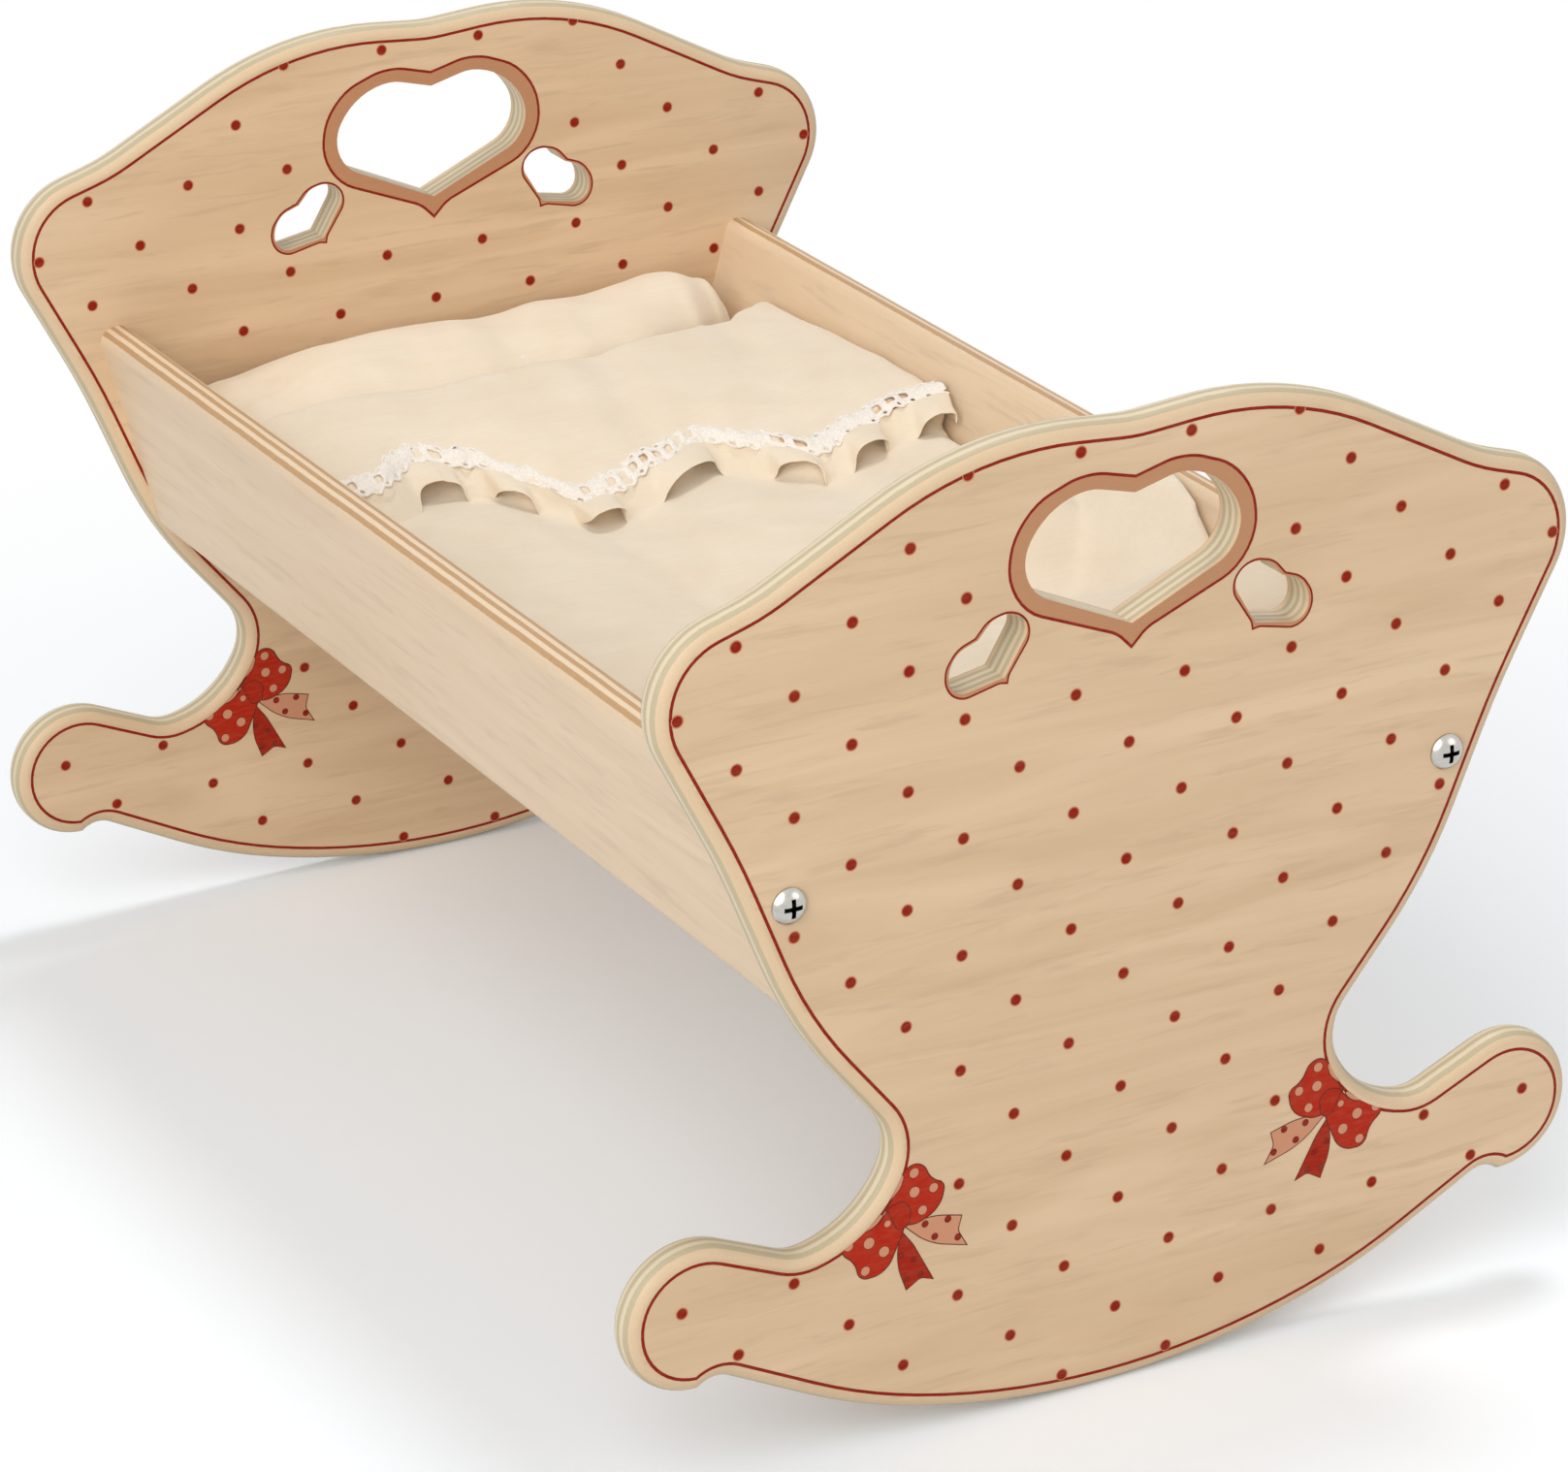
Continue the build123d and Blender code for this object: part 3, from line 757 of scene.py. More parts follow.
def formed_solid(steps_u, steps_v, shape):
    """A formed grid that runs round in u, closed along its seam and at its two ends."""
    bm = formed_grid(steps_u, steps_v, shape)
    bmesh.ops.remove_doubles(bm, verts=bm.verts, dist=SEAM)
    rims = [edge for edge in bm.edges if edge.is_boundary]
    bmesh.ops.holes_fill(bm, edges=rims, sides=0)
    bmesh.ops.triangulate(bm, faces=[f for f in bm.faces if len(f.verts) > 4])
    bmesh.ops.recalc_face_normals(bm, faces=bm.faces)
    return bm


def eased(share):
    """A share from 0 to 1 that starts and ends softly."""
    return share * share * (3 - 2 * share)


def row_at(rows, across):
    """A table read at any place, smoothly between its rows."""
    pairs = zip(rows, rows[1:])
    low, high = next(pair for pair in pairs if across <= pair[1][0] + 1e-6)
    part = eased(min(1, max(0, (across - low[0]) / (high[0] - low[0]))))
    return [a + (b - a) * part for a, b in zip(low, high)]


def arc_point(start, middle, end, share):
    """A point on the arc through three points of a plane, or on the line where they lie in
    one."""
    ax, ay = start
    bx, by = middle
    cx, cy = end
    double_area = 2 * (ax * (by - cy) + bx * (cy - ay) + cx * (ay - by))
    if abs(double_area) < NEARLY_ZERO:
        return (ax + (cx - ax) * share, ay + (cy - ay) * share)
    squares = (ax * ax + ay * ay, bx * bx + by * by, cx * cx + cy * cy)
    ux = (squares[0] * (by - cy) + squares[1] * (cy - ay) + squares[2] * (ay - by)) / double_area
    uy = (squares[0] * (cx - bx) + squares[1] * (ax - cx) + squares[2] * (bx - ax)) / double_area
    radius = hypot(ax - ux, ay - uy)
    first = atan2(ay - uy, ax - ux)
    passing = (atan2(by - uy, bx - ux) - first) % (2 * pi)
    sweep = (atan2(cy - uy, cx - ux) - first) % (2 * pi)
    if passing > sweep:
        sweep -= 2 * pi
    angle = first + sweep * share
    return (ux + radius * cos(angle), uy + radius * sin(angle))


def inner_half(z):
    """Half the width between the side boards at a height."""
    return SIDE_FOOT[0] + (z - SIDE_FOOT[1]) * tan(SIDE_LEAN)


def bed_point(across, y, z):
    """A point at a share of the bed's width."""
    return Vector((across * (inner_half(z) - SIDE_GAP), y, z))


def even_mesh(piece, voxel):
    """Gives a piece a mesh of even faces."""
    weave = piece.modifiers.new("even mesh", "REMESH")
    weave.mode = "VOXEL"
    weave.voxel_size = voxel
    weave.use_smooth_shade = True
    settle(piece)


def swell(piece, reach, fence):
    """Lets a padded piece swell as its filling would. No point moves further than reach, and
    fence keeps each in its room."""
    start = [vertex.co.copy() for vertex in piece.data.vertices]
    cloth = piece.modifiers.new("filling", "CLOTH")
    cloth.settings.quality = 5
    cloth.settings.mass = 0.3
    cloth.settings.use_pressure = True
    cloth.settings.uniform_pressure_force = FILLING_PRESSURE
    cloth.settings.effector_weights.gravity = 0
    cloth.point_cache.frame_start = 1
    cloth.point_cache.frame_end = SWELLING_FRAMES
    scene = bpy.context.scene
    for moment in range(1, SWELLING_FRAMES + 1):
        scene.frame_set(moment)
    settle(piece)
    scene.frame_set(1)
    for vertex, before in zip(piece.data.vertices, start):
        step = vertex.co - before
        if step.length > reach:
            step *= reach / step.length
        vertex.co = fence(before + step)


# ---------------------------------------------------------------- wood


def finish_wood():
    """Gives all wooden nodes their plywood, grain and plies."""
    wood = bpy.context.scene.cradle_wood
    panel_tones = (wood.pale, wood.deep, wood.ply_pale, wood.ply_deep)
    board_tones = (wood.board_pale, wood.board_deep, wood.board_pale, wood.board_ply)
    panel = plywood("panel_birch", panel_depth, (5, 30, 46), 7, panel_tones, radians(2))
    board = plywood("board_birch", side_depth, (48, 5, 48), 7, board_tones)
    base = plywood("base_birch", base_depth, (6, 50, 50), 5, board_tones)
    for node in ("foot_panel", "head_panel"):
        repaint(node, panel)
    for node in ("left_side", "right_side"):
        repaint(node, board)
    repaint("base_board", base)


def finish_fastenings():
    """Gives the screws and the dowels their finish."""
    steel = polished_steel("nickel_steel")
    pin = beech("dowel_beech")
    for end in ("foot", "head"):
        for side in ("left", "right"):
            repaint(f"{end}_{side}_screw", steel)
            repaint(f"{end}_{side}_dowels", pin)


# ---------------------------------------------------------------- print


def flat_face(node, depth):
    """The flat face of a panel at a depth, merged into one mesh."""
    bm = node_copy(node)
    off = [f for f in bm.faces if any(abs(v.co.y - depth) > CAD_SEAM for v in f.verts)]
    bmesh.ops.delete(bm, geom=off, context="FACES")
    return bm


def border_loops(bm):
    """The borders of a flat mesh, each a list of places in their order round it."""
    partners = {}
    for edge in bm.edges:
        if len(edge.link_faces) == 1:
            for vert in edge.verts:
                partners.setdefault(vert, []).append(edge.other_vert(vert))
    loops = []
    while partners:
        start = next(iter(partners))
        loop, before, here = [], None, start
        while here in partners:
            around = partners.pop(here)
            loop.append(here.co.copy())
            following = [v for v in around if v is not before and v in partners]
            before, here = here, following[0] if following else None
        loops.append(loop)
    return loops


def flat(place):
    """A place's part in the plane of a panel."""
    return Vector((place.x, place.z))


def nearest_on_line(start, way, here):
    """The point nearest to here on the line that goes from start along way."""
    share = max(0, min(1, (here - start).dot(way) / max(way.length_squared, NEARLY_ZERO)))
    return start + way * share


def spread(loop):
    """The size of a loop's box across and up, added up."""
    across = [place.x for place in loop]
    up = [place.z for place in loop]
    return max(across) - min(across) + max(up) - min(up)


class PanelPrint:
    """The ornament on one face of one panel, built up in thin films of ink."""

    def __init__(self, node, depth, outward):
        self.bm = bmesh.new()
        self.tone = self.bm.loops.layers.float_color.new(INK_TONE)
        self.depth = depth
        self.outward = outward
        self.film = bpy.context.scene.cradle_print.film
        face = flat_face(node, depth)
        self.borders = sorted(border_loops(face), key=spread, reverse=True)
        face.free()

    def level(self, layer):
        """Where a layer of ink lies along the cradle."""
        return self.depth + self.outward * self.film * (1 + LAYER_SHARE * layer)

    def paint(self, faces, tone):
        """Gives faces one tone."""
        for face in faces:
            for loop in face.loops:
                loop[self.tone] = (*tone, 1)

    def outline_face(self, corners, layer, place=(0.0, 0.0), turn=0.0, scale=1.0, mirrored=False):
        """A flat face with rounded corners. Each corner is across, up and radius, in
        millimetres from the place; they are turned and scaled about it."""
        angle = radians(turn)
        spots = []
        for across, up, radius in corners:
            x = scale * (across * cos(angle) - up * sin(angle)) + place[0]
            z = scale * (across * sin(angle) + up * cos(angle)) + place[1]
            spots.append((Vector((-x if mirrored else x, 0, z)) * MM, scale * radius * MM))
        lift = Vector((0, self.level(layer), 0))
        verts = [self.bm.verts.new(spot + lift) for spot, radius in spots]
        face = self.bm.faces.new(verts)
        count = len(spots)
        for index, (spot, radius) in enumerate(spots):
            if not radius:
                continue
            before = spot - spots[index - 1][0]
            after = spots[(index + 1) % count][0] - spot
            turned = before.angle(after)
            room = CORNER_SHARE * min(before.length, after.length)
            slide = min(radius * tan(turned / 2), room)
            rounded = bmesh.ops.bevel(
                self.bm,
                geom=[verts[index]],
                offset=slide,
                offset_type="OFFSET",
                segments=8,
                profile=0.5,
                affect="VERTICES",
                material=-1,
            )
            face = rounded["verts"][0].link_faces[0]
        return face

    def framed(self, face, width, line_tone, fill_tone):
        """Draws a line along the inside of a face's border, which leaves the face inside it."""
        face.normal_update()
        ring = bmesh.ops.inset_individual(
            self.bm, faces=[face], thickness=width, use_even_offset=True
        )["faces"]
        self.paint(ring, line_tone)
        if fill_tone:
            self.paint([face], fill_tone)

    def verts_along(self, border, layer):
        """New points along a border."""
        level = self.level(layer)
        return [self.bm.verts.new((spot.x, level, spot.z)) for spot in border]

    def edge_line(self, width, tone):
        """The line along the panel's edge, where the rounding ends."""
        face = self.bm.faces.new(self.verts_along(self.borders[0], 0))
        self.framed(face, width, tone, None)
        bmesh.ops.delete(self.bm, geom=[face], context="FACES")

    def heart(self, place, turn, scale, width, line_tone, band_tone):
        """A red line round a heart, with a tinted band from there to the cut-out."""
        mirrored = [(-x, z, radius) for x, z, radius in reversed(HALF_HEART_LINE[1:-1])]
        whole = [*HALF_HEART_LINE, *mirrored]
        face = self.outline_face(whole, 1, place, turn, scale)
        self.framed(face, width, line_tone, None)
        inner = list(face.edges)
        bmesh.ops.delete(self.bm, geom=[face], context="FACES_ONLY")
        inner = [edge for edge in inner if edge.is_valid]
        centre = Vector(place) * MM

        def away(loop):
            return (flat(sum(loop, Vector()) / len(loop)) - centre).length

        rim = self.verts_along(min(self.borders[1:], key=away), 1)
        rim_edges = [self.bm.edges.new(pair) for pair in zip(rim, rim[1:] + rim[:1])]
        filled = bmesh.ops.triangle_fill(self.bm, edges=inner + rim_edges, use_beauty=True)
        self.paint([g for g in filled["geom"] if isinstance(g, bmesh.types.BMFace)], band_tone)

    def spot(self, x, z, radius, layer, core, rim, core_share, sides):
        """A round spot whose edge fades into another tone."""
        matrix = Matrix.Translation((x, self.level(layer), z)) @ Matrix.Rotation(pi / 2, 4, "X")
        made = bmesh.ops.create_circle(
            self.bm, cap_ends=True, segments=sides, radius=radius, matrix=matrix
        )
        face = made["verts"][0].link_faces[0]
        face.normal_update()
        ring = bmesh.ops.inset_individual(
            self.bm, faces=[face], thickness=radius * (1 - core_share), use_even_offset=True
        )["faces"]
        self.paint([face], core)
        self.paint(ring, rim)
        return [face, *ring]

    def clip(self, faces, x, z, reach):
        """Cuts a spot where the flat face ends."""
        here = Vector((x, z))
        best = None
        for loop in self.borders:
            for start, end in zip(loop, loop[1:] + loop[:1]):
                way = flat(end) - flat(start)
                nearest = nearest_on_line(flat(start), way, here)
                if best is None or (nearest - here).length < (best[0] - here).length:
                    best = (nearest, way)
        nearest, way = best
        toward = nearest - here
        if toward.length > reach:
            return
        side = Vector((way.y, -way.x)).normalized()
        if toward.length > NEARLY_ZERO and (toward.dot(side) < 0) == self.inside(here):
            side = -side
        verts = {v for f in faces for v in f.verts}
        edges = {e for f in faces for e in f.edges}
        bmesh.ops.bisect_plane(
            self.bm,
            geom=[*verts, *edges, *faces],
            plane_co=(nearest.x, self.level(0), nearest.y),
            plane_no=(side.x, 0, side.y),
            clear_outer=True,
        )

    def inside(self, here):
        """Whether a place lies within the panel's flat face, apart from its cut-outs."""
        crossings = 0
        loop = self.borders[0]
        for start, end in zip(loop, loop[1:] + loop[:1]):
            if (start.z > here.y) != (end.z > here.y):
                at = start.x + (here.y - start.z) / (end.z - start.z) * (end.x - start.x)
                crossings += at > here.x
        return crossings % 2 == 1

    def hold_in(self, older, near, reach):
        """Moves all but the older points back to the flat face's border, where they lie outside
        it near a place."""
        loop = self.borders[0]
        lines = [(flat(a), flat(b) - flat(a)) for a, b in zip(loop, loop[1:] + loop[:1])]
        way_round = sum(start.cross(way) for start, way in lines)
        lines = [(start, way) for start, way in lines if (start - near).length < reach]
        for vert in set(self.bm.verts) - older:
            here = flat(vert.co)
            best = None
            for start, way in lines:
                foot = nearest_on_line(start, way, here)
                if best is None or (foot - here).length < best[0]:
                    outside = way.cross(here - start) * way_round < 0
                    best = ((foot - here).length, foot, outside)
            if best and best[2]:
                vert.co.x, vert.co.z = best[1]

    def piece(self, name, material):
        """The finished print as an object."""
        bmesh.ops.dissolve_degenerate(self.bm, dist=CAD_SEAM, edges=self.bm.edges)
        bmesh.ops.recalc_face_normals(self.bm, faces=self.bm.faces)
        wrong = [f for f in self.bm.faces if f.normal.y * self.outward < 0]
        bmesh.ops.reverse_faces(self.bm, faces=wrong)
        return new_piece(name, self.bm, "cradle", material)


def under_side_board(x, z):
    """Whether a spot on an inner face is hidden by the end of a side board."""
    depth = abs(x) * cos(SIDE_LEAN) - z * sin(SIDE_LEAN)
    middle = SIDE_INNER_DEPTH + SIDE_THICKNESS / 2
    in_board = abs(depth - middle) < SIDE_THICKNESS / 2 - 2 * MM
    rise = (z - SIDE_FOOT[1]) / cos(SIDE_LEAN)
    return in_board and 0 < rise < SIDE_WIDTH


def print_dots(sheet, tones, inner):
    """The pattern of dots."""
    radius = tones.dot_radius * DOT_SEEN
    for row, columns in DOT_ROWS:
        for column in sorted({side * place for place in columns for side in (-1, 1)}):
            x, z = column * DOT_PITCH, row * DOT_PITCH + LATTICE_RISE
            if inner and under_side_board(x, z):
                continue
            faces = sheet.spot(x, z, radius, 2, tones.red, (0.56, 0.20, 0.09), 0.82, 16)
            sheet.clip(faces, x, z, radius)


def print_bow(sheet, tones, mirrored):
    """A bow with a knot, two loops, their folds and two tails."""
    older = set(sheet.bm.verts)
    tail, knot = (tuple(share * part for part in tones.scarlet) for share in (0.82, 0.92))
    patches = (
        (BOW_RIGHT_TAIL, 2, tones.blush, 0.35),
        (BOW_LOWER_TAIL, 3, tail, 0.35),
        (BOW_UPPER_FOLD, 4, tones.blush, 0.35),
        (BOW_LOWER_FOLD, 4, tones.blush, 0.35),
        (BOW_UPPER_LOOP, 3.5, tones.scarlet, 0.45),
        (BOW_LOWER_LOOP, 3.8, tones.scarlet, 0.45),
        (BOW_KNOT_OUTLINE, 5, knot, 0.4),
    )
    for corners, layer, tone, line in patches:
        face = sheet.outline_face(corners, layer, BOW_KNOT, mirrored=mirrored)
        sheet.framed(face, line * MM, tones.outline, tone)
    side = -1 if mirrored else 1
    for spots, *inks in (
        (BOW_PALE_SPOTS, tones.blush, (0.30, 0.02, 0.01)),
        (BOW_DARK_SPOTS, tones.red, tones.outline),
    ):
        for across, up, radius in spots:
            x = side * (BOW_KNOT[0] + across) * MM
            sheet.spot(x, (BOW_KNOT[1] + up) * MM, radius * MM, 4.5, *inks, 0.84, 14)
    sheet.hold_in(older, Vector((side * BOW_KNOT[0], BOW_KNOT[1])) * MM, BOW_REACH)


def print_panels():
    """Prints both faces of both end panels."""
    tones = bpy.context.scene.cradle_print
    material = ink("printed_ink")
    faces = (
        ("foot_outer_print", "foot_panel", -PANEL_OUTER, -1),
        ("foot_inner_print", "foot_panel", -PANEL_INNER, 1),
        ("head_inner_print", "head_panel", PANEL_INNER, -1),
        ("head_outer_print", "head_panel", PANEL_OUTER, 1),
    )
    for name, node, depth, outward in faces:
        sheet = PanelPrint(node, depth, outward)
        sheet.edge_line(tones.line_width, tones.red)
        width = tones.heart_line_width
        colours = (tones.red, tones.terracotta)
        sheet.heart(LARGE_HEART_CENTRE, 0, 1, width, *colours)
        for side in (-1, 1):
            place = (side * SMALL_HEART_CENTRE[0], SMALL_HEART_CENTRE[1])
            turn = -side * SMALL_HEART_TURN
            sheet.heart(place, turn, SMALL_HEART_SHARE, SMALL_LINE_SHARE * width, *colours)
        print_dots(sheet, tones, abs(depth) == PANEL_INNER)
        for mirrored in (False, True):
            print_bow(sheet, tones, mirrored)
        sheet.piece(name, material)


# ---------------------------------------------------------------- bedding


def coverlet_places(row):
    """The named places of one section of the coverlet."""
    turned, set_back, edge_up, fold_up, layer_up = row[1:]
    edge_y = COVERLET_FOLD - turned * TURN_DOWN
    fold_y = COVERLET_FOLD + set_back * CORNER_SETBACK
    heights = [BED_LEVEL + up * COVERLET_HEIGHT for up in (edge_up, fold_up, layer_up)]
    return edge_y, fold_y, *heights


def edge_places(across):
    """Where the turned-down edge runs at a share of the bed's width: its place along the bed, its
    height and that of the layer under it."""
    edge_y, _, edge_z, _, layer_z = coverlet_places(row_at(COVERLET_ROWS, across))
    return edge_y, edge_z, layer_z


def coverlet_runs(row):
    """The runs of a section, each a function of a share from 0 to 1, and its number of steps."""
    edge_y, fold_y, edge_z, fold_z, layer_z = coverlet_places(row)
    foot_y = -HALF_LENGTH + FOOT_GAP
    foot_z = BED_LEVEL + FOOT_HEIGHT
    bulge = BULGE_SHARE * (fold_z - BED_LEVEL)
    inner_y = fold_y - LAYER
    inner_low = BED_LEVEL + LAYER
    inner_high = max(fold_z - LAYER, inner_low + SLIT)
    slit_z = layer_z + SLIT
    lip = ARC_SHARE * (edge_z - slit_z)
    turn = ARC_SHARE * (inner_high - inner_low)
    foot_rounding = ARC_SHARE * FOOT_HEIGHT
    foot_low = (foot_y + foot_rounding, BED_LEVEL)
    fold_low = (fold_y - 2 * bulge, BED_LEVEL)
    fold_high = (fold_y - 2 * bulge, fold_z)
    edge_high = (edge_y + lip, edge_z)
    edge_low = (edge_y + lip, slit_z)
    turn_high = (inner_y - turn, inner_high)
    turn_low = (inner_y - turn, inner_low)
    layer_end = (edge_y, layer_z)
    foot_high = (foot_y + foot_rounding, foot_z)
    flap = ((fold_y - 2 * bulge + edge_y + lip) / 2, (fold_z + edge_z) / 2 + bulge / 2)
    bed = (
        (edge_y + foot_y) / 2,
        BED_LEVEL + (FOOT_HEIGHT + layer_z - BED_LEVEL) / 2 - bulge / 4,
    )
    inner = (inner_y, (inner_low + inner_high) / 2)
    return (
        (foot_low, None, fold_low, 50),
        (fold_low, (fold_y, (BED_LEVEL + fold_z) / 2), fold_high, 12),
        (fold_high, flap, edge_high, 24),
        (edge_high, (edge_y, (edge_z + slit_z) / 2), edge_low, 6),
        (edge_low, None, turn_high, 16),
        (turn_high, inner, turn_low, 5),
        (turn_low, None, layer_end, 16),
        (layer_end, bed, foot_high, 40),
        (foot_high, (foot_y, (BED_LEVEL + foot_z) / 2), foot_low, 5),
    )


def coverlet_steps():
    """The number of steps round a section."""
    return sum(run[3] for run in coverlet_runs(COVERLET_ROWS[0]))


def coverlet_point(across, step):
    """A point of the coverlet's form."""
    for start, middle, end, count in coverlet_runs(row_at(COVERLET_ROWS, across)):
        if step <= count:
            share = step / count
            if middle:
                y, z = arc_point(start, middle, end, share)
            else:
                y = start[0] + (end[0] - start[0]) * share
                z = start[1] + (end[1] - start[1]) * share
            return bed_point(across, y, z)
        step -= count
    return bed_point(across, *end)


def coverlet_fence(point):
    """Keeps the coverlet on the mattress and between the boards."""
    z = max(point.z, BED_LEVEL)
    room = inner_half(z) - 0.4 * MM
    y = max(point.y, -HALF_LENGTH + 1.0 * MM)
    return Vector((max(-room, min(room, point.x)), y, z))


def bump(share):
    """A soft hill: 1 in the middle, 0 from a share of 1 or -1 outwards."""
    return max(0.0, 1 - share * share) ** 2


def crumple(point):
    """How far the coverlet's upper side stands up or sinks in at a place."""
    x, y = point.x, point.y
    across = max(-1, min(1, x / (inner_half(point.z) - SIDE_GAP)))
    from_edge = edge_places(across)[0] - y
    calm = max(0.15, min(1.0, abs(from_edge) / (26 * MM)))
    slow = noise.noise(Vector((x * 16, y * 12, 0.3))) * 1.8 * MM
    slant = Vector((x * 20 + y * 34, x * 9 - y * 14, 4.1))
    ridge = (0.5 - abs(noise.noise(slant))) * 1.5 * MM
    near_foot = max(0.0, min(1.0, (0.03 - y) / 0.08))
    cross = noise.noise(Vector((x * 12, y * 60, 7.7))) * 0.9 * MM * near_foot
    rise = (slow + ridge + cross) * calm
    if from_edge > 0:
        # The lower layer bulges a little before the ruffle.
        rise += 3.0 * MM * bump((from_edge - 48 * MM) / (34 * MM)) * (0.6 + 0.4 * across)
    else:
        # Soft valleys run down the turned-down layer from its fold.
        for middle, depth in FLAP_VALLEYS:
            aside = x - middle * MM + 0.25 * from_edge
            rise -= depth * MM * bump(aside / FLAP_VALLEY_REACH) * calm
    return rise


def tuck(point):
    """How far the coverlet's excess is pushed up against the right board: puffs with creases
    between them."""
    rise = 0.0
    for height, x, wide, y, long in TUCKED_PUFFS:
        across = bump((point.x - x * MM) / (wide * MM))
        along = bump((point.y - y * MM) / (long * MM))
        rise = max(rise, height * MM * across * along)
    # The lower side stays on the mattress.
    return rise * max(0.0, min(1.0, (point.z - BED_LEVEL - 1 * MM) / (5 * MM)))


def make_coverlet():
    """The quilted coverlet, turned down at the head end."""
    around = coverlet_steps()

    def shape(u, v):
        return coverlet_point(2 * v - 1, round(u * around))

    bm = formed_solid(around, COVERLET_STEPS, shape)
    material = cotton("bed_cotton", bpy.context.scene.cradle_bedding.cotton)
    piece = new_piece("coverlet_quilt", bm, "coverlet", material)
    even_mesh(piece, COVERLET_VOXEL)
    swell(piece, 2.0 * MM, coverlet_fence)
    lean_reach = 110 * MM  # from here outwards the excess follows all of the board's lean
    for vertex in piece.data.vertices:
        lift = tuck(vertex.co)
        outward = tan(SIDE_LEAN) * max(0.0, vertex.co.x / lean_reach) * lift
        if vertex.normal.z > 0.2:
            lift += crumple(vertex.co) * min(1, vertex.normal.z * 1.5)
        vertex.co = coverlet_fence(vertex.co + Vector((outward, 0, lift)))
    subdivide(piece)
    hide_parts("coverlet")
    return piece


def make_ruffle():
    """The gathered ruffle: round folds that hang from the turned-down edge."""
    bedding = bpy.context.scene.cradle_bedding
    depth = bedding.ruffle_depth
    half_width = inner_half(BED_LEVEL + COVERLET_HEIGHT / 2)

    def shape(u, v):
        across = TRIM_SHARE * (2 * u - 1)
        edge_y, edge_z, layer_z = edge_places(across)
        fold = next(n for n, place in enumerate(RUFFLE_FOLDS[1:]) if across <= place)
        gap = RUFFLE_FOLDS[fold + 1] - RUFFLE_FOLDS[fold]
        phase = pi * (fold + (across - RUFFLE_FOLDS[fold]) / gap)
        half_wave = half_width * gap
        swing = 0.10 + 0.90 * v**0.8
        top_z = edge_z + 0.9 * MM
        low_z = layer_z + 4.9 * MM
        height = min(5.4 * MM, 1.8 * MM + 0.24 * half_wave)
        wave = height * swing * cos(phase)
        pinch = 0.5 * MM * sin(phase * 3) * (1 - v)
        y = edge_y + 3.0 * MM - depth * v * (0.92 - 0.10 * cos(phase)) - 0.4 * wave + pinch
        z = top_z + (low_z - top_z) * v**1.2 + wave
        point = bed_point(across, y, max(z, layer_z + 1.3 * MM))
        sway = 0.16 * min(half_wave, 15 * MM) * swing * sin(2 * phase)
        return Vector((point.x + sway, point.y, point.z))

    bm = formed_grid(330, 11, shape)
    bmesh.ops.recalc_face_normals(bm, faces=bm.faces)
    material = cotton("ruffle_cotton", bedding.cotton, crumples=0.25 * MM)
    piece = new_piece("ruffle", bm, "coverlet", material)
    thicken(piece, 0.5 * MM, 0.0)
    subdivide(piece)
    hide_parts("coverlet_ruffle")
    return piece


def flap_height(across, behind):
    """The height of the turned-down layer at a distance behind its edge."""
    start, middle, end, _ = coverlet_runs(row_at(COVERLET_ROWS, across))[FLAP_RUN]
    target = edge_places(across)[0] + behind
    low, high = 0.0, 1.0
    for _ in range(24):
        share = (low + high) / 2
        y, z = arc_point(start, middle, end, share)
        if y > target:
            low = share
        else:
            high = share
    return z


def make_lace():
    """The crocheted lace along the turned-down edge, with the ribbon that is drawn through it."""
    bedding = bpy.context.scene.cradle_bedding
    width = bedding.lace_width
    columns, rows = 168, 9
    repeat = 4  # columns from one hole to the next

    def seat(across, along, behind, lift):
        """A place on the turned-down layer near its edge, where the lace tips over it."""
        wander = 1.1 * MM * noise.noise(Vector((along * 26, 8.0, 1.0)))
        ripple = 0.8 * MM * noise.noise(Vector((along * 60, 2.0, behind * 90)))
        tip = 1.6 * MM * max(0.0, 1 - behind / (6 * MM))
        edge_y = edge_places(across)[0]
        z = flap_height(across, max(behind, 3 * MM)) - tip + ripple + lift
        return bed_point(across, edge_y + behind + wander, z)

    def shape(u, v):
        across = TRIM_SHARE * (2 * u - 1)
        narrow = 0.86 + 0.18 * noise.noise(Vector((u * 31, 0.0, 6.0)))
        behind = 0.8 * MM + width * (0.5 + (v - 0.5) * narrow)
        wave = cos(2 * pi * u * columns / repeat)
        scallop = 1.1 * MM * wave * (1 - 2 * v) * abs(1 - 2 * v)
        knot = 0.55 * MM * noise.noise(Vector((u * 420, v * 11, 3.0)))
        return seat(across, u, behind - scallop, 2.0 * MM - 0.8 * MM * abs(1 - 2 * v) + knot)

    bm = formed_grid(columns, rows, shape)
    bm.faces.ensure_lookup_table()
    holes = []
    for face in bm.faces:
        row, column = divmod(face.index, columns)
        loose = noise.noise(Vector((column // repeat * 0.83, 4.2, 0.5))) > -0.05
        wide = row in (3, 4, 5) and column % repeat in (1, 2) and loose
        if wide or (row in (1, 7) and column % repeat == 3):
            holes.append(face)
    bmesh.ops.delete(bm, geom=holes, context="FACES")
    bmesh.ops.recalc_face_normals(bm, faces=bm.faces)
    piece = new_piece("lace", bm, "coverlet", crochet_cotton("lace_crochet", bedding.crochet))
    thicken(piece, 1.0 * MM, 1.0)
    subdivide(piece)
    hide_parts("lace_trim")

    def ribbon_shape(u, v):
        return seat(0.98 * (2 * u - 1), u, 0.8 * MM + width * (0.34 + 0.32 * v), 1.2 * MM)

    bm = formed_grid(160, 2, ribbon_shape)
    bmesh.ops.recalc_face_normals(bm, faces=bm.faces)
    ribbon = new_piece("lace_ribbon", bm, "coverlet", satin("ribbon_satin", bedding.satin))
    shade_smooth(ribbon)
    thicken(ribbon, 0.25 * MM, 1.0)
    return piece


